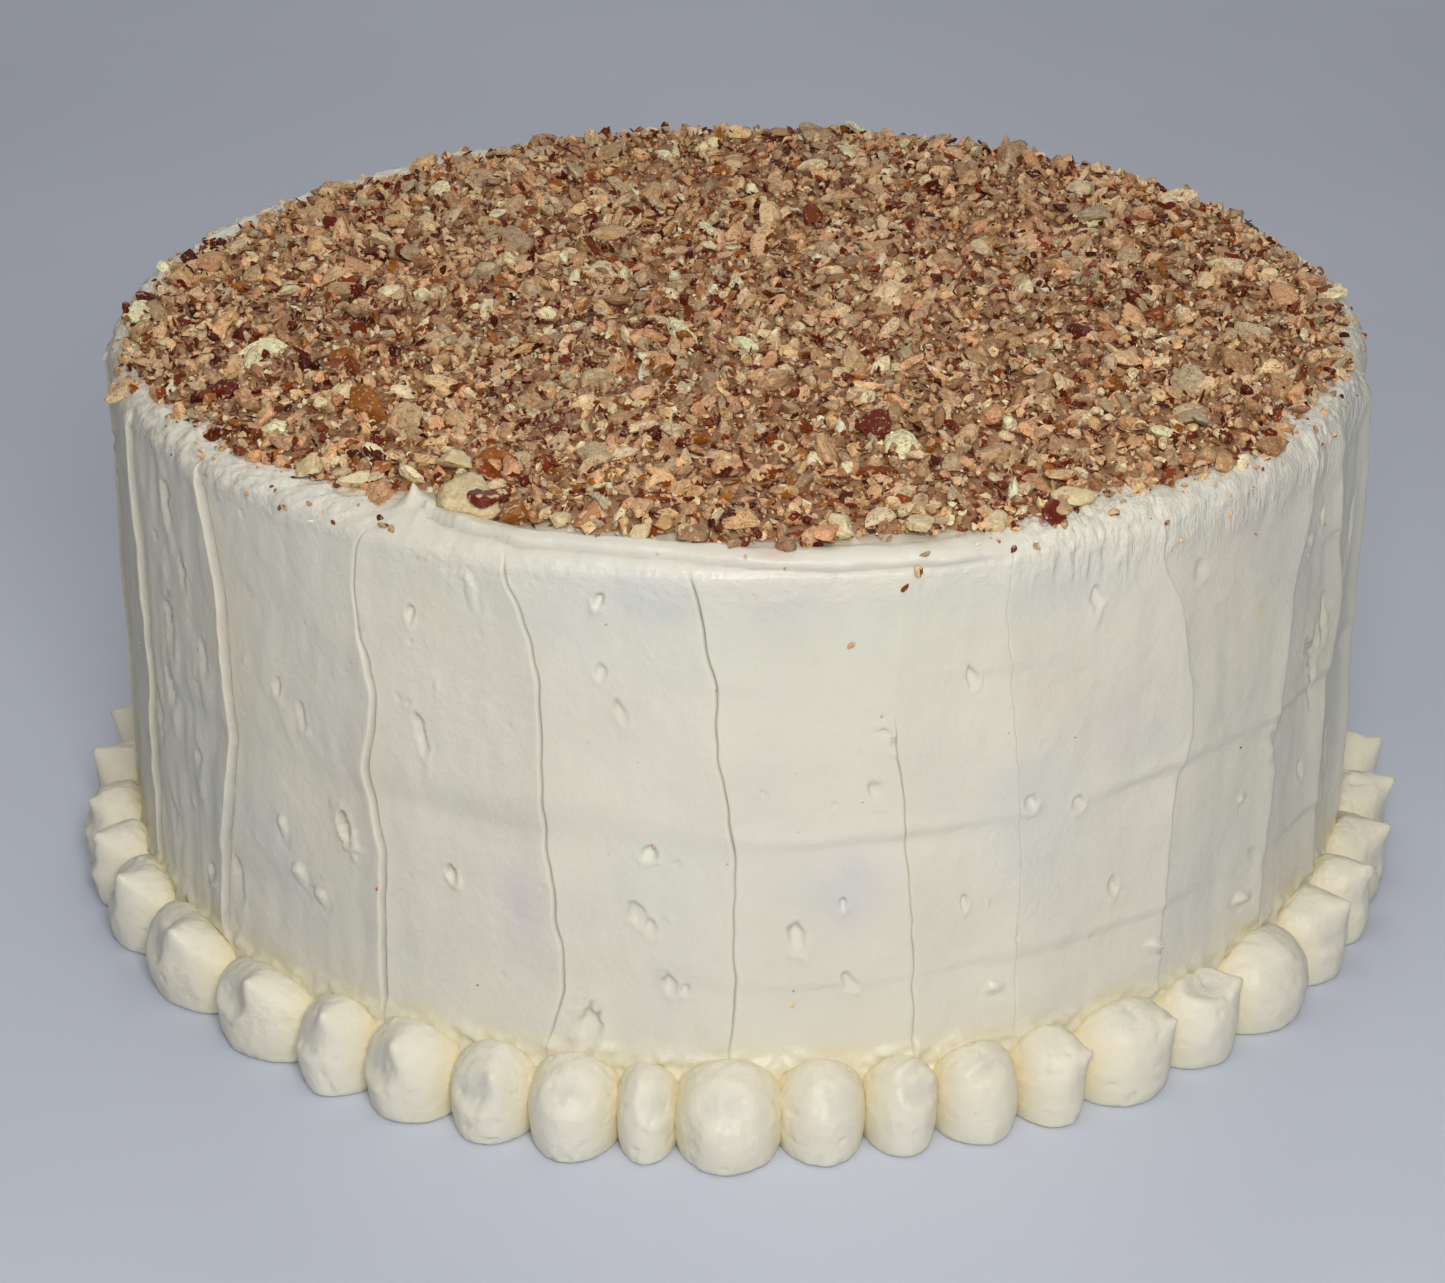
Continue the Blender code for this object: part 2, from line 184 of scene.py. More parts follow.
# The rim: between which azimuths the knife rolled the icing over, tore it or combed it, and how far along the
# icing the roll's edge lies at some azimuths
ROLL_FROM, ROLL_TO = -29.5, 19.0
TORN_FROM, TORN_TO = -118.0, -33.0
COMBED_FROM, COMBED_TO = 22.0, 112.0
ROLL_EDGE = ((-32.0, 118.5), (-28.5, 115.2), (-25.0, 112.8), (-20.0, 111.7), (-10.0, 111.2), (-5.0, 110.5),
             (0.0, 109.6), (6.0, 108.8), (20.0, 108.2))
ROLL_THICKNESS = 1.45

# Over which distances along the icing each kind of work sets in: the beads of icing under the roll, the torn
# icing, the comb's teeth and their torn crests, and then the fine grain of the combed, torn and beaded
# icing, where the last fades, and the grain of the crests
ROLL_BEADS, TORN_ICING = (102.0, 105.0), (104.0, 110.0)
COMB_TEETH, COMB_CRESTS = (97.0, 106.0), (108.5, 111.5)
COMB_GRAIN, TORN_GRAIN, BEAD_GRAIN = (96.0, 106.0), (103.0, 109.0), (99.0, 105.0)
BEAD_GRAIN_END, CREST_GRAIN = (107.5, 108.5), (107.0, 110.0)

# Small peaks on the rim: azimuth, distance along the icing, half width and half length, and height
PEAKS = ((-30.4, 117.4, 1.9, 2.5, 4.7), (-28.6, 115.4, 1.5, 3.2, 1.3), (-56.0, 113.5, 3.0, 1.5, 1.6),
         (56.5, 109.5, 1.6, 3.0, 1.2), (131.0, 113.5, 2.5, 1.5, 2.0), (-150.0, 113.6, 2.2, 1.4, 2.6))

# Faint stains that show through the icing, lighter bands round the rim and, in the last row, painted shade on
# the two flanks: azimuth, height, half width, half height and tint
STAINS_AND_FLANK_SHADE = (
    (-19.2, 44.0, 3.5, 6.0, (0.91, 0.89, 0.99)), (-8.5, 103.5, 8.0, 4.5, (0.94, 0.95, 1.03)),
    (8.2, 49.0, 6.0, 7.0, (0.90, 0.91, 1.02)), (27.0, 100.5, 8.0, 5.0, (0.96, 0.96, 1.04)),
    (2.7, 102.0, 6.0, 3.5, (0.96, 0.96, 1.03)), (-8.0, 50.0, 8.0, 7.0, (0.95, 0.99, 1.0)),
    (-21.0, 62.0, 9.0, 12.0, (1.0, 0.985, 0.99)), (31.0, 72.0, 9.0, 12.0, (1.0, 0.985, 0.985)),
    (-2.0, 99.0, 60.0, 9.0, (0.945, 0.975, 0.96)), (1.2, 111.6, 2.4, 1.2, (1.0, 0.80, 0.78)),
    (49.1, 82.8, 1.2, 1.2, (1.0, 0.97, 0.72)), (45.0, 111.0, 62.0, 6.5, (1.06, 1.07, 1.10)),
    (-55.0, 112.0, 50.0, 5.5, (1.08, 1.085, 1.10)), (-5.0, 110.0, 52.0, 4.5, (1.02, 1.035, 1.05)),
    # Painted shade: the left and right flanks darkened
    (-82.0, 55.0, 45.0, 60.0, (0.96, 0.95, 0.87)), (64.0, 60.0, 30.0, 50.0, (0.94, 0.95, 0.91)),
)

# The icing squeezed up where the beads meet the wall: over which heights it ends, how far it stands out,
# and over which its warmer colour ends
JOINT_TOP = (14.6, 17.6)
JOINT_RISE = 0.7
JOINT_WARM = (14.0, 20.0)
JOINT_TINT = (1.0, 0.975, 0.88)

# The bed of chopped pecans: how far out it reaches at some azimuths, its height and thickness, how deep its
# foot lies in the icing, the spacing of its mesh and how far inside the pieces it ends
NUT_EDGE = (
    (-140, 112.5), (-116, 113.5), (-96, 118.0), (-75, 120.0), (-66, 118.5), (-57.5, 114.5), (-51.5, 119.5),
    (-47, 115.4), (-43.5, 113.5), (-40, 116.8), (-33, 110.5), (-28, 112.0), (-23, 114.6), (-19, 114.4),
    (-17.5, 112.8), (-14, 114.6), (-10, 115.0), (-7.5, 115.2), (-4, 117.4), (0, 117.2), (3.6, 119.2),
    (8, 115.5), (14, 117.0), (22, 119.0), (26, 119.6), (30, 113.0), (39, 118.5), (45, 119.0), (52, 120.5),
    (56, 116.8), (63, 115.8), (68, 118.8), (98, 116.0), (125, 120.0), (180, 120.0),
)
NUT_BED_FLOOR = 111.0
NUT_BED_THICKNESS = 1.7
NUT_BED_DEPTH = 1.2
NUT_BED_SPACING = 1.725
NUT_BED_INSET = 3.6
GOLDEN_ANGLE = 137.508

# The kinds of piece: name, count, shortest and longest length, width and thickness as shares of the length,
# detail of the mesh, tilt in radians, how far over the bed they lie at most, and the shares of them with
# skin on one side and with skin all over
CHIP_KINDS = (
    ("pecan_meal", 10500, (0.7, 1.7), (0.5, 1.0), (0.4, 0.9), 0, 1.5, 0.6, 0.20, 0.14),
    ("pecan_skins", 3000, (1.4, 3.8), (0.3, 0.7), (0.12, 0.22), 1, 0.6, 1.7, 0.0, 1.0),
    ("pecan_grits", 7200, (1.7, 3.3), (0.5, 0.9), (0.35, 0.75), 1, 1.2, 1.0, 0.40, 0.09),
    ("pecan_bits", 2150, (3.0, 5.2), (0.5, 0.9), (0.35, 0.65), 2, 0.7, 1.6, 0.45, 0.06),
    ("pecan_chunks", 280, (5.0, 9.5), (0.45, 0.85), (0.3, 0.5), 3, 0.35, 2.0, 0.50, 0.04),
)
SHAPES_OF_A_KIND = 28
CHUNK_CUTS, CUT_DEPTHS, SKIN_CUT_DEPTH = 8, (0.45, 0.95), (0.4, 0.65)
CHIP_JITTER = 0.45
CHIPS_PAST_EDGE = (-2.8, 1.1)
CHIP_SEED = 21
CREAM_FLESH = (0.94, 0.81, 0.53)
TAN_FLESH = (0.71, 0.43, 0.19)
ROSY_FLESH = (0.59, 0.295, 0.145)
SKINS = ((0.37, 0.12, 0.014), (0.24, 0.045, 0.006), (0.13, 0.014, 0.003), (0.07, 0.006, 0.002))
SKIN_ODDS = (0.16, 0.32, 0.32, 0.20)
FLESH_SHADES, SKIN_SHADES = (0.58, 1.44), (0.8, 1.25)
# The meal bed's tan and its dark brown, which partly stands for painted shade in the gaps between pieces
MEAL_AND_GAP_SHADE_COLOURS = ((0.24, 0.09, 0.034), (0.60, 0.37, 0.19))

AMBER = (0.44, 0.155, 0.03)
PALE_CREAM = (0.84, 0.70, 0.42)
DEEP_RED = (0.20, 0.026, 0.010)
DARK_TAN = (0.42, 0.25, 0.13)

# Large pieces near and over the rim at the front: azimuth, distance from the axis, height, the three sizes,
# how far the length turns from the tangent, how far the piece leans out, and its colour
SHOWN_PIECES = (
    (-25.0, 110.8, 113.6, (11.5, 9.0, 4.2), 18, 26, PALE_CREAM),
    (-23.2, 113.3, 115.5, (5.4, 4.2, 2.6), 5, 20, DEEP_RED),
    (-20.3, 112.9, 113.4, (6.8, 5.4, 4.2), 78, 20, AMBER),
    (-14.3, 112.0, 113.2, (6.4, 4.0, 3.4), 84, 25, ROSY_FLESH),
    (-16.9, 112.2, 112.6, (4.0, 2.8, 2.0), 30, 15, PALE_CREAM),
    (-9.6, 113.8, 112.6, (4.0, 3.0, 2.4), 60, 25, CREAM_FLESH),
    (-5.0, 115.0, 112.8, (5.2, 4.0, 3.2), 50, 25, DARK_TAN),
    (-7.4, 112.9, 113.6, (4.2, 3.0, 2.2), -30, 10, TAN_FLESH),
    (-1.2, 116.2, 112.2, (3.0, 2.2, 1.8), 10, 30, DEEP_RED),
    (-42.0, 113.8, 113.0, (5.4, 4.4, 2.6), 60, 20, PALE_CREAM),
    (-36.9, 112.6, 113.0, (7.4, 4.8, 2.6), 10, 15, CREAM_FLESH),
    (-30.4, 100.5, 115.0, (8.6, 4.6, 3.0), -8, 5, PALE_CREAM),
    (-27.6, 94.0, 115.0, (6.4, 3.6, 2.6), 12, 0, AMBER),
    (-35.6, 108.5, 114.4, (5.6, 3.4, 2.4), -70, 10, AMBER),
    (20.6, 116.6, 112.8, (5.4, 4.6, 3.0), 40, 25, CREAM_FLESH),
    (25.4, 117.2, 112.4, (5.2, 4.4, 3.0), 70, 25, DEEP_RED),
    (28.6, 113.6, 113.6, (7.2, 5.0, 2.6), -12, 20, PALE_CREAM),
    (44.6, 117.0, 112.2, (4.6, 3.4, 2.4), 0, 25, TAN_FLESH),
    (50.5, 116.2, 113.2, (8.4, 4.2, 2.8), -6, 15, DEEP_RED),
    (52.5, 118.0, 112.2, (5.2, 2.8, 2.2), 82, 25, TAN_FLESH),
    (14.0, 115.6, 113.2, (6.2, 4.6, 2.8), 30, 20, PALE_CREAM),
    (7.4, 114.6, 113.4, (6.0, 4.4, 2.8), -40, 20, CREAM_FLESH),
)

# Crumbs at the front: azimuth, distance along the icing from the floor up, and length. The others are drawn
# at random on the rim, a few on the wall, and only the small ones on the roll. The form is what a kind of
# piece has from its widths on, but for the lift.
SHOWN_CRUMBS = (
    (-46.0, 108.0, 2.0), (-43.0, 110.5, 1.6), (-41.0, 108.5, 1.5), (-38.5, 110.0, 1.8), (-36.0, 108.6, 1.2),
    (13.4, 109.6, 2.4), (13.0, 107.5, 3.4), (11.8, 105.5, 2.0), (23.0, 109.0, 1.6), (37.0, 103.6, 2.2),
    (35.6, 107.6, 1.6), (43.0, 104.5, 1.8), (47.0, 110.5, 2.0), (51.0, 109.0, 1.6), (57.5, 110.5, 2.0),
    (61.0, 107.5, 1.6), (-11.6, 98.3, 0.9), (3.4, 26.0, 1.6), (7.6, 95.0, 1.5), (-3.0, 87.5, 0.5),
    (-9.3, 73.0, 0.5), (3.6, 60.5, 0.4), (27.5, 71.0, 0.6), (-2.0, 54.5, 0.7),
)
CRUMB_COUNT = 230
CRUMBS_ON_WALL = 0.12
WALL_CRUMBS, WALL_CRUMB_LENGTH = (24, 104), (0.4, 0.9)
RIM_CRUMBS_END, RIM_CRUMBS_BAND, RIM_CRUMB_LENGTH = 114.5, 7, (0.7, 2.4)
ROLL_CRUMB = 1.1
CRUMB_FORM = ((0.5, 0.9), (0.35, 0.7), 2, 1.2, 0.5, 0.2)
SPECK_FORM = ((0.5, 0.9), (0.3, 0.6), 1, 1.2, 0.0, 0.0)
RED_SPECKS = (
    (-32.6, 40.1, 1.2), (-23.5, 24.8, 0.8), (3.4, 29.1, 0.7), (-62.0, 106.0, 0.7), (47.5, 98.5, 1.0),
)
RED = (0.62, 0.11, 0.06)

# The piped beads. For those at the front: where the tip lies along the bead (-1 to 1), how high it points
# in degrees, its length and how far it leans along the bead, how far the bead stands out beyond the common
# one, how deep the hollow beside the tip is and where that lies in the same two ways, and how high the fold
# runs in degrees, if it has one
SHOWN_BEADS = {
    1: (0.35, 50, 3.4, 0.0, 0.0, 0.9, -0.2, 28, 0), 2: (0.40, 52, 3.6, 0.0, 0.0, 1.0, -0.2, 25, 0),
    3: (0.35, 54, 3.6, 0.0, 0.0, 1.1, -0.2, 28, 0), 4: (0.30, 54, 4.0, 0.0, 0.0, 1.5, -0.15, 34, 0),
    5: (0.30, 54, 3.4, 0.0, 0.0, 1.2, -0.2, 36, 0), 6: (0.12, 50, 3.0, 0.0, 0.4, 1.8, -0.35, 28, 0),
    7: (0.38, 44, 2.4, 0.0, 0.8, 1.3, -0.15, 26, 0), 8: (0.15, 40, 0.5, 0.0, 2.2, 1.0, 0.15, 42, 0),
    9: (-0.25, 62, 1.0, 0.0, 0.6, 0.9, 0.45, 38, 0), 10: (0.40, 42, 0.7, 0.0, 2.6, 1.0, -0.1, 38, 0),
    11: (0.35, 44, 0.5, 0.0, 0.2, 0.6, 0.25, 40, 0), 12: (0.75, 56, 2.0, 0.05, 0.0, 1.5, 0.35, 48, 68),
    13: (0.30, 70, 0.6, 0.0, 0.0, 0.5, 0.1, 66, 52), 14: (0.72, 42, 3.2, 0.12, 0.0, 0.3, -0.3, 70, 0),
    15: (0.60, 44, 3.0, 0.06, 0.3, 0.3, -0.3, 70, 0), 16: (0.62, 52, 2.4, 0.12, 0.0, 1.9, 0.05, 74, 0),
    17: (0.0, 48, 0.5, 0.0, 0.8, 0.2, 0.0, 30, 0), 18: (0.10, 46, 3.0, 0.0, 0.0, 0.8, -0.3, 26, 0),
    19: (0.10, 46, 3.4, 0.0, 0.0, 0.8, -0.3, 26, 0), 20: (0.10, 44, 3.4, 0.0, 0.0, 0.8, -0.3, 24, 0),
    21: (0.0, 42, 4.2, 0.0, 0.3, 0.9, -0.3, 22, 0),
}

# The least and most of each of these for the other beads, and the share of them with a fold
OTHER_BEADS = (
    (-0.3, 0.5), (40, 56), (3.2, 4.8), (-0.08, 0.14), (-0.2, 0.6), (0.5, 1.6), (-0.5, 0.3), (20, 46),
    (50, 74),
)
FOLDED_SHARE = 0.3

# The form and mesh that all beads share
BEAD_COUNT = 44
BEAD_SEED = 31
BEAD_SIZES = (0.96, 1.05)
BEAD_HEIGHT = 16.2
BEAD_DEPTH = 11.2
BEAD_CORE = (3.0, 6.5)
BEAD_BACK = 5.0
BEAD_SAG = 1.3
BEAD_ROUNDNESS = 2.0
BEAD_OVERLAP = 1.13
BEAD_SECTIONS = (57, 45)
BEAD_FRONT_TURNS = (-75.0, 112.0)
BEAD_TURNS = (56, 46)
BEAD_HIDDEN_TURNS = (122.0, 275.0, 6)
TIP_REACH = 12.0
TIP_SIZE = 1.5
HOLLOW_SIZE = 4.2
FOLD_WIDTH = 4.5

# Colours of the icing
ICING_CREAM = (0.80, 0.767, 0.655)
ICING_WARM = (0.815, 0.767, 0.63)
PIPED_CREAM = (0.85, 0.812, 0.69)
PIPED_WARM = (0.86, 0.807, 0.65)
# Painted shade: warm and darker in the beads' creases, by the wall and between beads
CREASE_SHADE_TINT = (1.0, 0.93, 0.74)
# Painted shade in the hollows beside the beads' tips
HOLLOW_SHADE_TINT = (0.85, 0.87, 0.92)
ICING_ROUGHNESS = 0.40
PIPED_ROUGHNESS = 0.48

# The grain of worked icing: its part of the mesh's colour, its noise and its depth. These are the combed,
# torn and beaded icing.
WORKED_GRAINS = (
    ("Red", (1500.0, 3.0, 0.6, (1.0, 1.0, 0.12)), 0.38),
    ("Green", (600.0, 3.0, 0.55), 0.5),
    ("Blue", (520.0, 2.0, 0.5), 0.42),
)

# What makes the icing and the nuts uneven. For each noise: how strong it is, the size of its swells in
# millimetres, along the three axes where that differs, and its seed
NOISES = {
    "edge_sway": (1.5, 40.0, 1), "edge_wiggle": (0.22, 5.0, 3), "lip": (0.3, 16.0, 4),
    "back_lip": (0.9, 45.0, 6), "crevice": (0.5, 11.0, 5), "back_crevice": (1.5, 30.0, 2),
    "mark_outline": (0.45, (1.5, 1.9, 1.0), 7), "groove_level": (1.6, (35.0, 35.0, 200.0), 10),
    "groove_depth": (0.9, 26.0, 11), "groove_width": (0.15, 20.0, 17), "wall_swell": (0.45, 45.0, 12),
    "wall_wave": (0.26, 17.0, 51), "wall_streak": (0.13, (7.0, 7.0, 60.0), 13),
    "wall_lump": (0.14, (4.0, 4.0, 7.0), 14), "wall_grain": (0.05, 1.6, 16),
    "flank": (0.38, (3.6, 3.6, 20.0), 15), "joint_line": (2.2, 5.0, 18),
    "joint_lump": (0.75, (3.2, 3.2, 2.0), 19), "joint_grain": (0.4, 1.4, 27),
    "joint_warmth": (1.5, 8.0, 23), "stain": (0.4, 4.0, 20), "blue": (1.0, 24.0, 21),
    "rose": (1.0, 28.0, 22), "tone": (0.022, 17.0, 52), "fine_tone": (0.014, 6.0, 53),
    "roll_line": (0.5, 18.0, 31), "roll_wiggle": (0.5, 6.0, 8), "roll_thickness": (0.7, 9.0, 9),
    "roll_crease": (0.16, (22.0, 22.0, 1.1), 32), "roll_bead": (0.13, (1.6, 1.6, 2.8), 39),
    "rim_patch": (1.0, 40.0, 30), "torn_line": (2.5, 9.0, 35), "torn_grain": (0.12, 1.2, 29),
    "comb_line": (3.0, 6.0, 38), "comb_tooth": (1.0, (1.5, 1.5, 7.0), 36),
    "comb_swell": (0.32, (3.0, 3.0, 10.0), 37), "comb_crest": (2.0, 5.0, 28),
    "combed_grain": (4.0, 7.0, 24), "torn_work": (3.0, 7.0, 25), "beaded_work": (2.0, 6.0, 26),
    "nut_bay": (2.2, 7.0, 40), "nut_edge": (1.8, 2.8, 40), "bed_swell": (0.5, 16.0, 41),
    "bed_lump": (0.6, 4.5, 42), "bed_grain": (0.45, 2.2, 43), "bead_swell": (0.45, 8.0, 100),
    "bead_lump": (0.22, 3.0, 200), "bead_pit": (1.0, 1.9, 300), "bead_streak": (0.10, (1.3, 1.3, 9.0), 400),
    "bead_patch": (1.0, 6.5, 500), "bead_grain": (0.30, 1.5, 600),
}
NOISE_CELLS = 256
NOISE_GAIN = 1.6


def noise_at(points, size, seed):
    """Smooth noise, about -1 to 1. A larger size along an axis stretches it that way."""
    draw = np.random.default_rng(seed)
    slopes = draw.normal(size=(NOISE_CELLS, 3))
    slopes /= np.linalg.norm(slopes, axis=1, keepdims=True)
    order = draw.permutation(NOISE_CELLS)
    place = points.reshape(-1, 3) / np.asarray(size, float) + draw.uniform(0, NOISE_CELLS, 3)
    cell = np.floor(place).astype(int)
    local = place - cell
    fade = local**3 * (local * (local * 6 - 15) + 10)
    total = np.zeros(len(place))
    for corner in itertools.product((0, 1), repeat=3):
        x, y, z = (cell + corner).T % NOISE_CELLS
        slope = slopes[order[(order[(order[x] + y) % NOISE_CELLS] + z) % NOISE_CELLS]]
        weight = np.prod(np.where(corner, fade, 1 - fade), axis=1)
        total += weight * np.einsum("ij,ij->i", slope, local - corner)
    return (NOISE_GAIN * total).reshape(points.shape[:-1])


def uneven(name, points, number=0):
    """One of the named noises at these points, another for each number."""
    strength, size, seed = NOISES[name]
    return strength * noise_at(points, size, seed + number)


def any_seed(draw):
    """A seed for a noise of which every piece has its own."""
    return int(draw.integers(1 << 30))


def ridged(noise):
    """Noise turned into sharp crests, from -1 to 1."""
    return 1 - 2 * np.abs(noise)


def ramp(low, high, value):
    """A smooth rise from 0 to 1 between two values."""
    share = np.clip((value - low) / (high - low), 0, 1)
    return share * share * (3 - 2 * share)


def turned(azimuth):
    """Azimuths brought to between -180 and 180."""
    return (np.asarray(azimuth) + 180) % 360 - 180


def stretch(azimuth, start, end, soft=5.0):
    """1 between two azimuths and 0 elsewhere, with soft ends."""
    angle = turned(azimuth)
    return ramp(start - soft, start + soft, angle) * (1 - ramp(end - soft, end + soft, angle))


def around(azimuth, radius, height):
    """Points at these azimuths, distances from the cake's axis and heights."""
    angle = np.radians(azimuth)
    return np.stack(np.broadcast_arrays(radius * np.sin(angle), -radius * np.cos(angle), height), axis=-1)


def add_mesh(name, points, faces, material, smooth=True):
    """A closed mesh with its faces turned outwards."""
    mesh = bpy.data.meshes.new(name)
    mesh.from_pydata((np.asarray(points).reshape(-1, 3) * MM).tolist(), [], faces)
    mesh.materials.append(material)
    if smooth:
        mesh.shade_smooth()
    made = bpy.data.objects.new(name, mesh)
    bpy.context.scene.collection.objects.link(made)
    return made


def paint(piece, name, colours, domain):
    """Colours kept with the mesh, one for each point or face, in place of any under that name."""
    kept = piece.data.attributes
    layer = kept.get(name) or kept.new(name, "FLOAT_COLOR", domain)
    opaque = np.concatenate([colours, np.ones((len(colours), 1))], axis=1)
    layer.data.foreach_set("color", opaque.astype(np.float32).ravel())


def loop_faces(rows, columns):
    """The quads of a grid whose rows close on themselves."""
    low = np.arange(rows - 1)[:, None] * columns + np.arange(columns)[None, :]
    right = np.roll(low, -1, axis=1)
    return np.stack([low, right, right + columns, low + columns], axis=-1).reshape(-1, 4).tolist()


def closed_faces(rows, columns):
    """A grid's quads, and triangles from its first and last rows to the two points that follow the grid."""
    faces = loop_faces(rows, columns)
    first, last, end = np.arange(columns), np.arange(columns) + (rows - 1) * columns, rows * columns
    faces += [(after, point, end) for point, after in zip(first.tolist(), np.roll(first, -1).tolist())]
    faces += [(point, after, end + 1) for point, after in zip(last.tolist(), np.roll(last, -1).tolist())]
    return faces


def knife_edges(heights):
    """The azimuth, lip and crevice of every stroke's edge at these heights, once round the cake."""
    azimuths, lips, widths, crevices = [], [], [], []
    for number, (lip, width, crevice, path) in enumerate(SHOWN_EDGES):
        levels, places = np.array(path).T
        shifted = [np.interp(heights + shift, levels, places) for shift in EDGE_SMOOTHING]
        azimuths.append(np.mean(shifted, axis=0))
        lips.append(lip * (1 - ramp(*LIP_TOPS.get(number, ABOVE_ALL), heights)))
        widths.append(width)
        crevices.append(crevice * (1 - ramp(*CREVICE_TOPS.get(number, ABOVE_ALL), heights)))
    draw = random.Random(EDGE_SEED)
    first, last = SHOWN_EDGES[0][-1][1][1], SHOWN_EDGES[-1][-1][1][1]
    step = (first + 360 - last) / (BACK_EDGE_COUNT + 1)
    for i in range(1, BACK_EDGE_COUNT + 1):
        place = last + step * (i + draw.uniform(-BACK_EDGE_JITTER, BACK_EDGE_JITTER))
        lip = draw.uniform(*BACK_LIP)
        path = around(place, WALL_RADIUS, heights)
        azimuths.append(place + uneven("edge_sway", path))
        lips.append(lip * np.clip(0.8 + uneven("back_lip", path), 0.1, 1.6))
        widths.append(BACK_LIP_WIDTH)
        crevices.append(BACK_CREVICE * np.clip(0.35 + uneven("back_crevice", path), 0.0, 1.3))
    azimuths, lips, crevices = np.array(azimuths), np.array(lips), np.array(crevices)
    path = around(azimuths, WALL_RADIUS, heights[None, :])
    azimuths += uneven("edge_wiggle", path)
    lips *= 1 + uneven("lip", path)
    crevices *= 1 + uneven("crevice", path)
    return azimuths, lips, widths, crevices


def stroke_columns(azimuths, lips, widths, crevices):
    """For every column of the wall: its azimuths up the rows, the strokes' relief and the crevices' depth."""
    columns, relief, cuts = [], [], []
    count = len(azimuths)
    for i in range(count):
        left, right = azimuths[i], azimuths[(i + 1) % count] + (360 if i + 1 == count else 0)
        width = (right - left) * MM_PER_DEGREE
        between = FLANK_COLUMNS if i in SHOWN_STROKES else BACK_COLUMNS
        between = FRONT_COLUMNS if i in FRONT_STROKES else between
        middle = [LEFT_OFFSETS[-1] + (width - LEFT_OFFSETS[-1] - RIGHT_OFFSETS[0]) * (k + 1) / (between + 1)
                  for k in range(between)]
        near = [offset + 0 * width for offset in LEFT_OFFSETS]
        far = [width - offset for offset in RIGHT_OFFSETS]
        after = (i + 1) % count
        lip, spread = lips[after], widths[after]
        for place in near + middle + far:
            share = place / width
            rise = -STROKE_FOOT * lips[i] * np.exp(-place / STROKE_FOOT_WIDTH) + 0.5 * lip * share**3
            rise -= STROKE_HOLLOW * 4 * share * (1 - share)
            rise += 0.5 * lip * np.exp(-(((width - place) / spread) ** 2))
            cut = crevices[i] * np.exp(-((place / CREVICE_WIDTH) ** 2))
            cut += crevices[after] * np.exp(-(((width - place) / CREVICE_WIDTH) ** 2))
            columns.append(left + place / MM_PER_DEGREE)
            relief.append(rise - cut)
            cuts.append(cut)
    return np.array(columns).T, np.array(relief).T, np.array(cuts).T


def random_marks():
    """More marks: few and small at the front, and as many round the rest as the front has."""
    draw = np.random.default_rng(MARK_SEED)
    marks = []
    for _ in range(SMALL_MARKS):
        azimuth, height = draw.uniform(-180, 180), draw.uniform(*SMALL_FROM)
        width = draw.uniform(*SMALL_WIDTH)
        tall = width * draw.uniform(*SMALL_SHAPE)
        depth = draw.uniform(*SMALL_DEPTH) * (1 if draw.random() < DENT_SHARE else -BUMP_HEIGHT)
        if FRONT_FROM < azimuth < FRONT_TO:
            width, tall, depth = np.multiply(SMALLER_AT_FRONT, (width, tall, depth))
        marks.append((azimuth, height, width, tall, depth, draw.uniform(*SMALL_LEAN)))
    for _ in range(LONG_MARKS):
        azimuth, height = draw.uniform(*LONG_AROUND), draw.uniform(*LONG_FROM)
        marks.append((turned(azimuth), height, *(draw.uniform(*limits) for limits in LONG_SIZES)))
    return marks


def press_marks(relief, shade, azimuth, run, marks):
    """Dents with a raised edge, and bumps, each in its own small part of the wall. A dent's upper edge gets a
    crescent of painted shade."""
    for place, height, width, tall, depth, lean in marks:
        across = turned(azimuth - place) * MM_PER_DEGREE
        up = run - height
        reach = MARK_REACH * max(width, tall)
        near = (np.abs(across) < reach) & (np.abs(up) < reach)
        tilt = math.radians(lean)
        x = across[near] * math.cos(tilt) - up[near] * math.sin(tilt)
        y = across[near] * math.sin(tilt) + up[near] * math.cos(tilt)
        away = np.sqrt((x / width) ** 2 + (y / tall) ** 2)
        away *= 1 + uneven("mark_outline", np.stack([x + place, y + height, 0 * x], axis=-1))
        upper = ramp(-1.0, 0.9, y / tall)
        scoop = (0.05 + 0.95 * upper) * np.exp(-(away**7))
        edge = (1 - 0.7 * upper) * np.exp(-(((away - MARK_EDGE[0]) / MARK_EDGE[1]) ** 2))
        relief[near] += MARK_STRENGTH * depth * (0.25 * edge - scoop)
        # Painted shade: a dark crescent along a dent's upper edge
        crescent = upper**1.5 * np.exp(-(((away - MARK_CRESCENT[0]) / MARK_CRESCENT[1]) ** 2))
        shade[near] += MARK_SHADE * np.clip(depth, 0, 1) ** 0.7 * crescent


def dragged_noise(azimuth, run, slant, length, width, seed):
    """Noise drawn out along the rim, and turned up towards the right by this slant in degrees."""
    along, tilt = turned(azimuth) * MM_PER_DEGREE, math.radians(slant)
    across = run * math.cos(tilt) - along * math.sin(tilt)
    flow = along * math.cos(tilt) + run * math.sin(tilt)
    return noise_at(np.stack([flow, across, 0 * run], axis=-1), (length, width, 1.0), seed)


def roll_edge(azimuth, points):
    """How far up the icing the rolled rim begins."""
    edge = np.interp(turned(azimuth), *np.array(ROLL_EDGE).T)
    return edge + uneven("roll_line", points) + uneven("roll_wiggle", points)


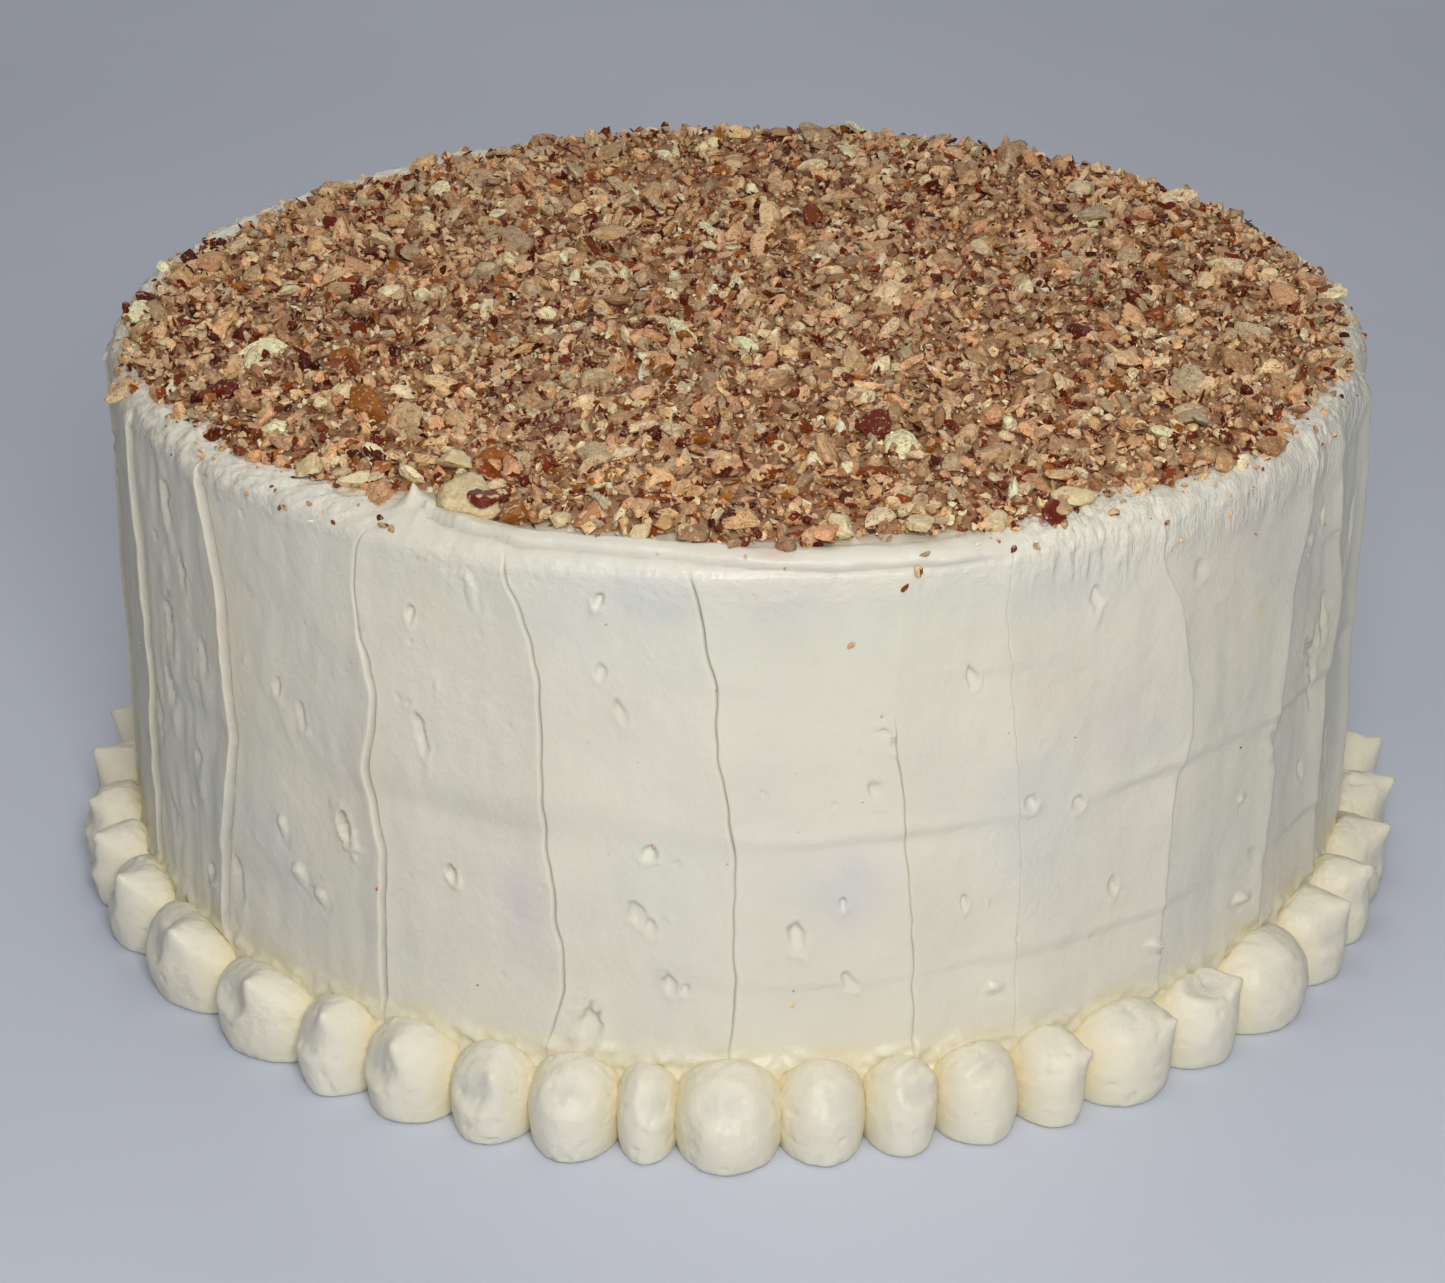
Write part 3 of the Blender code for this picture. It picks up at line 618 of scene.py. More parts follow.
def rim_relief(azimuth, run, points):
    """What the knife left round the rim: a smooth roll at the front, torn and combed icing elsewhere."""
    roll = stretch(azimuth, ROLL_FROM, ROLL_TO, 2.5)
    torn = stretch(azimuth, TORN_FROM, TORN_TO)
    combed = stretch(azimuth, COMBED_FROM, COMBED_TO, 3.5)
    back = np.clip(1 - roll - torn - combed, 0, 1) * (np.abs(turned(azimuth)) > 60)
    patches = ramp(-0.3, 0.3, uneven("rim_patch", points))
    torn, combed = torn + back * patches, combed + back * (1 - patches)
    edge = roll_edge(azimuth, points)
    thick = ROLL_THICKNESS + uneven("roll_thickness", points)
    relief = roll * thick * ramp(edge, edge + 0.4, run) * (1 - ramp(edge + 1.8, edge + 5.4, run))
    relief -= roll * 0.25 * np.exp(-(((run - edge + 0.4) / 0.5) ** 2))
    relief += roll * uneven("roll_crease", points) * ramp(edge, edge + 1.5, run)
    beaded = ramp(*ROLL_BEADS, run) * (1 - ramp(edge - 0.4, edge + 0.2, run))
    relief += (roll + 0.4 * combed) * beaded * uneven("roll_bead", points)
    rough = 0.50 * ridged(dragged_noise(azimuth, run, 24.0, 8.0, 1.9, 33))
    rough += 0.28 * ridged(dragged_noise(azimuth, run, 34.0, 3.6, 0.95, 34)) + uneven("torn_grain", points)
    relief += 1.15 * torn * rough * ramp(*TORN_ICING, run + uneven("torn_line", points))
    comb = 0.40 * ridged(uneven("comb_tooth", points)) + uneven("comb_swell", points)
    relief += combed * comb * ramp(*COMB_TEETH, run + uneven("comb_line", points))
    relief += 0.9 * combed * rough * ramp(*COMB_CRESTS, run + uneven("comb_crest", points))
    for place, height, width, tall, lift in PEAKS:
        across = turned(azimuth - place) * MM_PER_DEGREE / width
        relief += lift * np.exp(-np.sqrt(0.02 + across**2 + ((run - height) / tall) ** 2) * 1.2)
    return relief


def rim_work(azimuth, run, points):
    """Where fine grain lies on the rim: combed, torn and beaded icing as the three parts of a colour."""
    combed = stretch(azimuth, COMBED_FROM, COMBED_TO, 3.5) + stretch(azimuth, COMBED_TO, 179)
    torn = stretch(azimuth, TORN_FROM, TORN_TO) + stretch(azimuth, -179, TORN_FROM)
    beaded = stretch(azimuth, ROLL_FROM, 60, 3.0)
    low = ramp(*COMB_GRAIN, run + uneven("combed_grain", points))
    torn_low = ramp(*TORN_GRAIN, run + uneven("torn_work", points))
    band = ramp(*BEAD_GRAIN, run + uneven("beaded_work", points)) * (1 - 0.8 * ramp(*BEAD_GRAIN_END, run))
    grain = torn * torn_low + 0.6 * combed * ramp(*CREST_GRAIN, run)
    return np.stack([combed * low, grain, beaded * band], axis=-1)


def body_profile():
    """Up the wall, round the rim and in over the top: each row's run along the icing, radius, height and
    the two parts of its outward direction."""
    rows = [(height, WALL_RADIUS, height, 1.0, 0.0) for height in (*LOW_ROWS, *np.linspace(*WALL_ROWS))]
    for i in range(RIM_ROWS + 1):
        turn = math.pi / 2 * i / RIM_ROWS
        out, up = math.cos(turn), math.sin(turn)
        rows.append((WALL_TOP + RIM_RADIUS * turn, WALL_RADIUS - RIM_RADIUS * (1 - out),
                     WALL_TOP + RIM_RADIUS * up, out, up))
    end = rows[-1][0]
    rows += [(end + inset, WALL_RADIUS - RIM_RADIUS - inset, ICING_HEIGHT, 0.0, 1.0) for inset in TOP_ROWS]
    return np.array(rows).T


def wall_relief(azimuth, run, points, strokes, shade):
    """How far the icing stands out from the plain body."""
    shown = ramp(*LIP_START, run)
    relief = strokes * shown * (1 - ramp(*LIP_END, run))
    for height, depth in GROOVES:
        level = height + uneven("groove_level", points)
        patchy = np.clip(0.65 + uneven("groove_depth", points), 0.05, 1.4)
        away = run - level
        above = GROOVE_ABOVE * (1 - 0.66 * ramp(-16, 4, turned(azimuth)) + uneven("groove_width", points))
        away = np.where(away > 0, away / above, away / GROOVE_BELOW)
        relief -= depth * patchy * np.exp(-(away**2)) * shown
        relief += 0.3 * depth * patchy * np.exp(-((away - 2.2) ** 2)) * shown
    lower = 1 - ramp(108.0, 118.0, run)
    for name in ("wall_swell", "wall_wave", "wall_streak"):
        relief += uneven(name, points) * shown * lower
    relief += (uneven("wall_lump", points) + uneven("wall_grain", points)) * shown
    squeezed = 1 - ramp(*JOINT_TOP, run + uneven("joint_line", points))
    relief += squeezed * (JOINT_RISE + uneven("joint_lump", points) + uneven("joint_grain", points))
    flank = stretch(azimuth, -95, -52) + stretch(azimuth, 95, 175) + stretch(azimuth, -170, -110)
    relief += flank * uneven("flank", points) * shown * lower
    press_marks(relief, shade, azimuth, run, [*SHOWN_MARKS, *random_marks()])
    return relief + rim_relief(azimuth, run, points)


def wall_tint(azimuth, run, points, cuts, shade):
    """Faint stains in the icing, lighter bands round the rim, painted shade in the crevices, at the dents'
    upper edges, under the roll's edge and on the two flanks, and a warmer colour down by the beads.
    """
    # Painted shade in the crevices and at the dents' upper edges
    dark = np.clip(cuts, 0, 1) * ramp(*LIP_START, run) * (1 - ramp(*LIP_END, run)) + np.clip(shade, 0, 0.5)
    tint = 1 - dark[..., None] * np.array(CREVICE_SHADE)
    # Stains, lighter bands, and painted shade on the flanks
    for place, height, width, tall, colour in STAINS_AND_FLANK_SHADE:
        across = turned(azimuth - place) * MM_PER_DEGREE / width
        near = np.exp(-(across**2) - ((run - height) / tall) ** 2)
        near *= 1 + uneven("stain", points)
        tint *= 1 + np.clip(near, 0, 1)[..., None] * (np.array(colour) - 1)
    blue = 0.05 * ramp(0.15, 0.7, uneven("blue", points))
    rose = 0.04 * ramp(0.15, 0.7, uneven("rose", points))
    tint *= 1 - blue[..., None] * np.array((1.0, 0.8, 0.0)) - rose[..., None] * np.array((0.0, 0.6, 0.5))
    # Painted shade under the edge of the rolled rim
    under = np.exp(-(((run - roll_edge(azimuth, points) + 0.2) / 0.35) ** 2))
    under *= stretch(azimuth, ROLL_FROM, ROLL_TO, 2.5)
    tint *= 1 - 0.4 * under[..., None] * np.array(CREVICE_SHADE)
    tint *= 1 + (uneven("tone", points) + uneven("fine_tone", points))[..., None]
    joint = (1 - ramp(*JOINT_WARM, run + uneven("joint_warmth", points)))[..., None]
    return tint * (1 + joint * (np.array(JOINT_TINT) - 1))


def make_body(material):
    """The smoothed icing from the floor to under the nuts."""
    run, radius, height, out, up = (row[:, None] for row in body_profile())
    azimuth, strokes, cuts = stroke_columns(*knife_edges(run[:, 0]))
    run = run + 0 * azimuth
    base = around(azimuth, radius, height)
    shade = np.zeros(run.shape)
    relief = wall_relief(azimuth, run, base, strokes, shade)
    points = around(azimuth, radius + out * relief, height + up * relief)
    centres = [(0.0, 0.0, 0.0), (0.0, 0.0, ICING_HEIGHT)]
    vertices = [*points.reshape(-1, 3), *centres]
    piece = add_mesh("smoothed_icing", vertices, closed_faces(*azimuth.shape), material)
    tint = wall_tint(azimuth, run, base, cuts, shade).reshape(-1, 3)
    paint(piece, "tint", np.concatenate([tint, np.ones((2, 3))]), "POINT")
    worked = rim_work(azimuth, run, base).reshape(-1, 3)
    paint(piece, "worked", np.concatenate([worked, np.zeros((2, 3))]), "POINT")
    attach(piece, "root")
    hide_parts("iced_cake")
    return points, run


def nut_edge(azimuth):
    """How far out the nuts reach at these azimuths."""
    places, radii = np.array(NUT_EDGE).T
    radius = np.interp(turned(azimuth), places, radii, period=360)
    foot = around(azimuth, WALL_RADIUS, 0.0)
    return radius + uneven("nut_bay", foot) + uneven("nut_edge", foot)


def rim_drop(radius):
    """How far the plain rim has dropped below the top at this distance from the axis."""
    over = np.clip(radius - (WALL_RADIUS - RIM_RADIUS), 0, RIM_RADIUS)
    return RIM_RADIUS - np.sqrt(RIM_RADIUS**2 - over**2)


def bed_height(places):
    """The height of the bed that the loose pieces lie in. It thins out and drops with the rim."""
    flat = np.concatenate([places[:, :2], np.zeros((len(places), 1))], axis=1)
    radius = np.hypot(flat[:, 0], flat[:, 1])
    azimuth = np.degrees(np.arctan2(flat[:, 0], -flat[:, 1]))
    thin = ramp(0.0, 7.0, nut_edge(azimuth) - radius)
    lumps = sum(uneven(name, flat) for name in ("bed_swell", "bed_lump", "bed_grain"))
    return NUT_BED_FLOOR + (NUT_BED_THICKNESS + lumps) * (0.25 + 0.75 * thin) - rim_drop(radius)


def make_nut_bed(material):
    """The fine meal between the loose pieces, as one low relief."""
    rings = round(WALL_RADIUS / NUT_BED_SPACING)
    columns = round(math.tau * WALL_RADIUS / NUT_BED_SPACING)
    azimuth = np.linspace(-180, 180, columns, endpoint=False)
    share = np.sqrt(np.linspace(0.0, 1.0, rings + 1)[1:])[::-1, None]
    edge = nut_edge(azimuth)[None, :] - NUT_BED_INSET
    top = around(azimuth + 0 * share, edge * share, 0.0).reshape(-1, 3)
    top[:, 2] = bed_height(top)
    foot = around(azimuth, edge[0], NUT_BED_FLOOR - NUT_BED_DEPTH - rim_drop(edge[0]))
    middles = [(0, 0, NUT_BED_FLOOR - NUT_BED_DEPTH), (0, 0, NUT_BED_FLOOR + NUT_BED_THICKNESS)]
    vertices = np.concatenate([foot, top, middles])
    piece = add_mesh("pecan_bed", vertices, closed_faces(rings + 1, columns), material)
    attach(piece, "root")
    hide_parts("chopped_pecans")


def sphere_grid(detail):
    """The corners and triangles of a small ball: eight faces for detail 0, then 20, 80 and 320."""
    if detail == 0:
        corners = np.array([(1, 0, 0), (-1, 0, 0), (0, 1, 0), (0, -1, 0), (0, 0, 1), (0, 0, -1)], float)
        triangles = [(0, 2, 4), (2, 1, 4), (1, 3, 4), (3, 0, 4), (2, 0, 5), (1, 2, 5), (3, 1, 5), (0, 3, 5)]
        return corners, np.array(triangles)
    ball = bmesh.new()
    bmesh.ops.create_icosphere(ball, subdivisions=detail, radius=1.0)
    corners = np.array([vert.co[:] for vert in ball.verts])
    triangles = np.array([[vert.index for vert in face.verts] for face in ball.faces])
    ball.free()
    return corners, triangles


def chunk_shape(draw, corners, triangles):
    """One chopped piece: a ball cut by planes, of which the first is the one that may have skin."""
    cuts = draw.normal(size=(CHUNK_CUTS, 3))
    cuts /= np.linalg.norm(cuts, axis=1, keepdims=True)
    depths = draw.uniform(*CUT_DEPTHS, len(cuts))
    depths[0] = draw.uniform(*SKIN_CUT_DEPTH)

    def reach(directions):
        facing = directions @ cuts.T
        return np.where(facing > 0.1, depths / np.maximum(facing, 0.1), 9.0)

    lengths = np.minimum(reach(corners).min(axis=1), 1.2)
    rough = 1 + 0.11 * noise_at(corners, 0.4, any_seed(draw))
    shape = corners * (lengths * rough)[:, None]
    middles = shape[triangles].mean(axis=1)
    middles /= np.linalg.norm(middles, axis=1, keepdims=True)
    return shape, reach(middles).argmin(axis=1) == 0


def turns_about(axis, angles):
    """Rotations by these angles about one of the three axes."""
    turns = np.zeros((3, 3, len(angles)))
    first, second = (axis + 1) % 3, (axis + 2) % 3
    turns[axis, axis] = 1
    turns[first, first] = turns[second, second] = np.cos(angles)
    turns[first, second], turns[second, first] = -np.sin(angles), np.sin(angles)
    return turns


def random_turns(draw, count, tilt):
    """Rotations by any angle about the upright and by up to about this tilt otherwise."""
    yaw = draw.uniform(-math.pi, math.pi, count)
    pitch, roll = draw.normal(0, tilt, (2, count))
    return np.einsum("ijn,jkn,kln->nil", turns_about(2, yaw), turns_about(0, pitch), turns_about(1, roll))


def chip_colours(draw, count):
    """A flesh colour for each piece, from cream to tan and rosy, and a skin colour."""
    cream, tan, rosy = np.array(CREAM_FLESH), np.array(TAN_FLESH), np.array(ROSY_FLESH)
    first, second = draw.random((2, count, 1))
    flesh = cream + (tan - cream) * first**0.85
    flesh = flesh + (rosy - flesh) * second**1.5
    flesh = np.minimum(flesh * draw.uniform(*FLESH_SHADES, (count, 1)), 0.96)
    skin = np.array(SKINS)[draw.choice(len(SKINS), count, p=SKIN_ODDS)]
    return flesh, skin * draw.uniform(*SKIN_SHADES, (count, 1))


def add_chips(name, draw, places, lengths, form, material):
    """Chopped pieces at these places as one joined mesh, with each face's colour. The form is what a kind of
    piece has from its widths on, but for the lift."""
    widths, thicknesses, detail, tilt, skin_share, whole_share = form
    ball, triangles = sphere_grid(detail)
    count = len(places)
    sizes = np.stack([lengths, lengths * draw.uniform(*widths, count),
                      lengths * draw.uniform(*thicknesses, count)], axis=1) / 2
    turns = random_turns(draw, count, tilt)
    flesh, skin = chip_colours(draw, count)
    whole_skin = draw.random(count) < whole_share
    skinned = whole_skin | (draw.random(count) < skin_share)
    kinds = draw.integers(SHAPES_OF_A_KIND, size=count)
    points, faces, colours, start = [], [], [], 0
    for kind in range(SHAPES_OF_A_KIND):
        shape, on_skin = chunk_shape(draw, ball, triangles)
        chosen = np.flatnonzero(kinds == kind)
        if not len(chosen):
            continue
        sized = shape[None] * sizes[chosen][:, None]
        placed = np.einsum("nij,nvj->nvi", turns[chosen], sized) + places[chosen][:, None]
        points.append(placed.reshape(-1, 3))
        firsts = start + np.arange(len(chosen)) * len(shape)
        faces.append((triangles[None] + firsts[:, None, None]).reshape(-1, 3))
        start += len(chosen) * len(shape)
        browned = skinned[chosen][:, None] & (on_skin[None] | whole_skin[chosen][:, None])
        shade = draw.uniform(0.9, 1.08, (len(chosen), len(triangles), 1))
        colour = np.where(browned[..., None], skin[chosen][:, None], flesh[chosen][:, None]) * shade
        colours.append(colour.reshape(-1, 3))
    piece = add_mesh(name, np.concatenate(points), np.concatenate(faces).tolist(), material, smooth=False)
    paint(piece, "chip_colour", np.concatenate(colours), "FACE")
    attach(piece, "root")
    return piece


def make_chips(material):
    """The loose pieces over the bed, from meal to chunks, one joined mesh for each kind."""
    draw = np.random.default_rng(CHIP_SEED)
    for name, count, (shortest, longest), *form, lift, skinned, whole in CHIP_KINDS:
        number = np.arange(count)
        azimuth = GOLDEN_ANGLE * number
        spacing = WALL_RADIUS * math.sqrt(math.pi / count)
        radius = nut_edge(azimuth) * np.sqrt((number + 0.5) / count) - 0.1 * shortest
        places = around(azimuth, radius, 0.0)
        places[:, :2] += draw.normal(0, CHIP_JITTER * spacing, (count, 2))
        lengths = shortest + (longest - shortest) * draw.random(count) ** 1.6
        over = np.hypot(places[:, 0], places[:, 1])
        limit = nut_edge(np.degrees(np.arctan2(places[:, 0], -places[:, 1])))
        limit += draw.uniform(*CHIPS_PAST_EDGE, count)
        places[:, :2] *= np.minimum(1, limit / over)[:, None]
        places[:, 2] = bed_height(places) + lift * draw.uniform(0.1, 1.0, count)
        add_chips(name, draw, places, lengths, (*form, skinned, whole), material)


def make_shown_pieces(material):
    """The large pieces that hang over the rim, as one joined mesh."""
    draw = np.random.default_rng(CHIP_SEED + 2)
    ball, triangles = sphere_grid(4)
    points, faces, colours = [], [], []
    for azimuth, radius, height, sizes, turn, lean, colour in SHOWN_PIECES:
        shape, _ = chunk_shape(draw, ball, triangles)
        shape *= 1 + 0.09 * noise_at(shape, 0.2, any_seed(draw))[:, None]
        turns = Matrix.Rotation(math.radians(azimuth), 3, "Z") @ Matrix.Rotation(math.radians(lean), 3, "X")
        turns = np.array(turns @ Matrix.Rotation(math.radians(turn), 3, "Z"))
        placed = (shape * np.array(sizes) / 2) @ turns.T + around(azimuth, radius, height)
        faces.append(triangles + len(shape) * len(points))
        points.append(placed)
        colours.append(np.array(colour) * draw.uniform(0.86, 1.08, (len(triangles), 1)))
    piece = add_mesh("pecan_overhangs", np.concatenate(points), np.concatenate(faces).tolist(), material)
    paint(piece, "chip_colour", np.concatenate(colours), "FACE")
    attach(piece, "root")


def on_icing(points, run, azimuth, distance):
    """The point of the icing nearest to this azimuth and distance along it."""
    angles = turned(np.degrees(np.arctan2(points[..., 0], -points[..., 1])) - azimuth)
    row = np.abs(run[:, 0] - distance).argmin()
    column = np.abs(angles[row]).argmin()
    return points[row, column]


def laid_out(points, run, crumbs):
    """The places on the icing and the lengths of these crumbs."""
    places = [on_icing(points, run, azimuth, distance) for azimuth, distance, _ in crumbs]
    return np.array(places), np.array([length for *_, length in crumbs])


def make_crumbs(points, run, material):
    """Crumbs that fell or were pressed on the icing, and the specks in it."""
    draw = np.random.default_rng(CHIP_SEED + 1)
    crumbs = list(SHOWN_CRUMBS)
    for _ in range(CRUMB_COUNT):
        low = draw.random() < CRUMBS_ON_WALL
        distance = (draw.uniform(*WALL_CRUMBS) if low
                    else RIM_CRUMBS_END - RIM_CRUMBS_BAND * draw.random() ** 1.4)
        length = draw.uniform(*(WALL_CRUMB_LENGTH if low else RIM_CRUMB_LENGTH))
        azimuth = draw.uniform(-180, 180)
        if low or length < ROLL_CRUMB or not ROLL_FROM < azimuth < ROLL_TO:
            crumbs.append((azimuth, distance, length))
    add_chips("pecan_crumbs", draw, *laid_out(points, run, crumbs), CRUMB_FORM, material)
    specks = add_chips("red_specks", draw, *laid_out(points, run, RED_SPECKS), SPECK_FORM, material)
    paint(specks, "chip_colour", np.tile(RED, (len(specks.data.polygons), 1)), "FACE")


def bead_extent(node):
    """The azimuths of a bead's middle and of its two creases."""
    corners = np.array([vert.co[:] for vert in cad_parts[node].data.vertices]) / MM
    middle = np.degrees(np.arctan2(corners[:, 0].mean(), -corners[:, 1].mean()))
    azimuth = turned(np.degrees(np.arctan2(corners[:, 0], -corners[:, 1])) - middle)
    return middle + (azimuth.min() + azimuth.max()) / 2, (azimuth.max() - azimuth.min()) / 2


def rounded_reach(turn, full, front, top):
    """How far a bead's section reaches from its core in each direction."""
    level, rise = np.cos(turn), np.sin(turn)
    out = np.where(level > 0, front, BEAD_BACK)
    high = np.where(rise > 0, top, BEAD_SAG * top)
    power = BEAD_ROUNDNESS
    return full * (np.abs(level / out) ** power + np.abs(rise / high) ** power) ** (-1 / power)


def bead_traits(number, draw):
    """A bead's tip, hollow and fold: as the photograph shows them, or drawn like those."""
    drawn = [draw.uniform(*limits) for limits in OTHER_BEADS]
    drawn[-1] *= draw.random() < FOLDED_SHARE
    return SHOWN_BEADS.get(number, drawn)


def press_hollow(reach, full, hollow, beside, above, wide):
    """The hollow beside a bead's tip, with its raised edge, and how much painted shade it puts on each point.
    """
    dish = (beside / min(HOLLOW_SIZE, 0.5 * wide)) ** 2
    dish = dish + (above * TIP_REACH / HOLLOW_SIZE) ** 2
    reach -= hollow * np.exp(-(dish**1.5)) * full
    reach += 0.2 * hollow * np.exp(-(((np.sqrt(dish) - 1.4) / 0.3) ** 2)) * full
    # Painted shade in the hollow
    return np.exp(-1.6 * dish) * min(0.35 + 0.35 * hollow, 0.8)


def bead_surface(number, wide, draw):
    """A bead's place along its width, depth from the wall and height over a grid of sections and turns, with
    how full each section is, the turns, and how much painted shade the hollow beside the tip puts on each
    point."""
    traits = bead_traits(number, draw)
    tip_share, tip_rise, tip_length, lean, proud, hollow, hollow_share, hollow_rise, fold = traits
    size = draw.uniform(*BEAD_SIZES)
    coarse = number not in SHOWN_BEADS
    reach_out = BEAD_OVERLAP + 0.03 * proud
    share = reach_out * np.sin(np.linspace(-math.pi / 2, math.pi / 2, BEAD_SECTIONS[coarse]))[:, None]
    full = np.clip(1 - np.abs(share / reach_out) ** BEAD_ROUNDNESS, 0, 1) ** (1 / BEAD_ROUNDNESS)
    shown_turns = np.linspace(*BEAD_FRONT_TURNS, BEAD_TURNS[coarse])
    turns = np.concatenate([shown_turns, np.linspace(*BEAD_HIDDEN_TURNS)])[None, :]
    turn = np.radians(turns)
    front = BEAD_DEPTH * size + proud - BEAD_CORE[0]
    top = BEAD_HEIGHT * size + 0.25 * proud - BEAD_CORE[1]
    reach = rounded_reach(turn, full, front, top)
    sideways = (share - tip_share) * wide
    upwards = (turn - math.radians(tip_rise)) * TIP_REACH
    away = np.hypot(sideways, upwards)
    spike = np.exp(-np.sqrt(away**2 + 0.1) / TIP_SIZE)
    reach = reach + tip_length * (0.85 * spike + 0.42 * np.exp(-((away / 5.0) ** 2)))
    crest = np.exp(-((sideways / 2.6) ** 2)) * ramp(0, 3.5, upwards) * (1 - ramp(80, 105, turns))
    reach += 0.15 * tip_length * crest * full
    beside, above = (share - hollow_share) * wide, turn - math.radians(hollow_rise)
    hollow_shade = press_hollow(reach, full, hollow, beside, above, wide)
    if fold:
        line = turns - fold - 10 * np.sin(2.4 * share + number)
        reach -= 0.8 * np.exp(-((line / FOLD_WIDTH) ** 2)) * full**3
        reach += 0.45 * np.exp(-((line / FOLD_WIDTH - 2.2) ** 2)) * full**3
    share = share + lean * np.exp(-away / 2.4)
    depth = BEAD_CORE[0] * full - 1.0 * (1 - full) + reach * np.cos(turn)
    height = BEAD_CORE[1] + reach * np.sin(turn) + 0.12 * tip_length * spike
    return share + 0 * turn, depth, height, full, turn, hollow_shade


def bead_texture(number, base, share, turn):
    """The soft swellings, pits, streaks and lumps of a bead, and where its surface glistens."""
    swell = uneven("bead_swell", base, number) + uneven("bead_lump", base, number)
    swell -= 0.5 * ramp(0.42, 0.7, uneven("bead_pit", base, number))
    swell += uneven("bead_streak", base, number)
    lumpy = np.clip(ramp(math.radians(55), math.radians(100), turn) + 0.8 * np.abs(share) ** 5, 0, 1)
    patch = ramp(0.12, 0.5, uneven("bead_patch", base, number))
    rough = np.clip(0.9 * lumpy + 0.7 * patch, 0, 1)
    swell += rough * uneven("bead_grain", base, number)
    return swell, 0.25 + 0.75 * rough


def make_bead(number, draw, material):
    """One piped bead: a plump dollop against the wall whose tip was pulled outwards and up."""
    node = f"bead_{number:02d}"
    middle, half = bead_extent(node)
    wide = math.radians(half) * (WALL_RADIUS + BEAD_DEPTH)
    share, depth, height, full, turn, hollow_shade = bead_surface(number, wide, draw)
    azimuth = middle + share * half
    base = around(azimuth, WALL_RADIUS + depth, height)
    swell, glisten = bead_texture(number, base, share, turn)
    depth = depth + swell * full * np.cos(turn)
    height = np.maximum(height + swell * full * np.sin(turn), 0.0)
    points = around(azimuth, WALL_RADIUS + depth, height)
    corners = [*points.reshape(-1, 3), points[0].mean(axis=0), points[-1].mean(axis=0)]
    piece = add_mesh(f"piped_{node}", corners, closed_faces(*share.shape), material)
    # Painted warm shade in the creases by the wall and between beads
    crease = np.clip(0.7 * np.abs(share) ** 4 + 0.8 * np.exp(-((depth / 2.0) ** 2)), 0, 1)
    tint = 1 + crease.reshape(-1, 1) * (np.array(CREASE_SHADE_TINT) - 1)
    # Painted shade in the hollow beside the tip
    tint *= 1 + hollow_shade.reshape(-1, 1) * (np.array(HOLLOW_SHADE_TINT) - 1)
    paint(piece, "tint", np.concatenate([tint, np.ones((2, 3))]), "POINT")
    worked = np.stack([0 * glisten, 0 * glisten, glisten], axis=-1).reshape(-1, 3)
    paint(piece, "worked", np.concatenate([worked, np.zeros((2, 3))]), "POINT")
    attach(piece, "root")
    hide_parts(node)


def make_beads(material):
    """The ring of piped beads, each in the place of its solid."""
    draw = np.random.default_rng(BEAD_SEED)
    for number in range(1, BEAD_COUNT + 1):
        make_bead(number, draw, material)


def start_material(name):
    """A new material and its nodes."""
    material = bpy.data.materials.new(name)
    material.use_nodes = True
    return material, material.node_tree


def connect(tree, given, socket):
    """A node's output, or else a plain colour or number, into this socket."""
    if isinstance(given, bpy.types.NodeSocket):
        tree.links.new(given, socket)
    elif isinstance(given, tuple):
        socket.default_value = (*given, 1.0)[:len(socket.default_value)]
    else:
        socket.default_value = given


def finish_material(tree, inputs):
    """What goes into each of the shader's sockets."""
    shader = tree.nodes["Principled BSDF"]
    for name, given in inputs.items():
        connect(tree, given, shader.inputs[name])


def add_noise(tree, scale, detail=3.0, roughness=0.5, stretched=(1.0, 1.0, 1.0)):
    """A noise texture in the object's own metres, drawn out along an axis whose share here is small."""
    place = tree.nodes.new("ShaderNodeTexCoord").outputs["Object"]
    texture = tree.nodes.new("ShaderNodeTexNoise")
    for name, number in (("Scale", scale), ("Detail", detail), ("Roughness", roughness)):
        texture.inputs[name].default_value = number
    if stretched != (1.0, 1.0, 1.0):
        mapping = tree.nodes.new("ShaderNodeMapping")
        mapping.inputs["Scale"].default_value = stretched
        tree.links.new(place, mapping.inputs["Vector"])
        place = mapping.outputs["Vector"]
    tree.links.new(place, texture.inputs["Vector"])
    return texture.outputs["Fac"]


def add_range(tree, value, low, high, to_low=0.0, to_high=1.0):
    """The value brought from one range to another."""
    changed = tree.nodes.new("ShaderNodeMapRange")
    for name, number in (("From Min", low), ("From Max", high), ("To Min", to_low), ("To Max", to_high)):
        changed.inputs[name].default_value = number
    tree.links.new(value, changed.inputs["Value"])
    return changed.outputs["Result"]


def add_mix(tree, factor, first, second, blend="MIX"):
    """Two colours mixed. Each may be a colour or another node's output."""
    mixed = tree.nodes.new("ShaderNodeMix")
    mixed.data_type = "RGBA"
    mixed.blend_type = blend
    for number, given in ((0, factor), (6, first), (7, second)):
        connect(tree, given, mixed.inputs[number])
    return mixed.outputs[2]


def add_product(tree, first, second):
    """Two nodes' numbers multiplied."""
    product = tree.nodes.new("ShaderNodeMath")
    product.operation = "MULTIPLY"
    tree.links.new(first, product.inputs[0])
    tree.links.new(second, product.inputs[1])
    return product.outputs["Value"]


def add_attribute(tree, name):
    """A colour that the mesh carries."""
    attribute = tree.nodes.new("ShaderNodeAttribute")
    attribute.attribute_name = name
    return attribute.outputs["Color"]


def add_bump(tree, height, strength, distance, below=None):
    """A fine grain this many millimetres deep, over another where there is one."""
    bump = tree.nodes.new("ShaderNodeBump")
    bump.inputs["Strength"].default_value = strength
    bump.inputs["Distance"].default_value = distance * MM
    tree.links.new(height, bump.inputs["Height"])
    if below is not None:
        tree.links.new(below, bump.inputs["Normal"])
    return bump.outputs["Normal"]


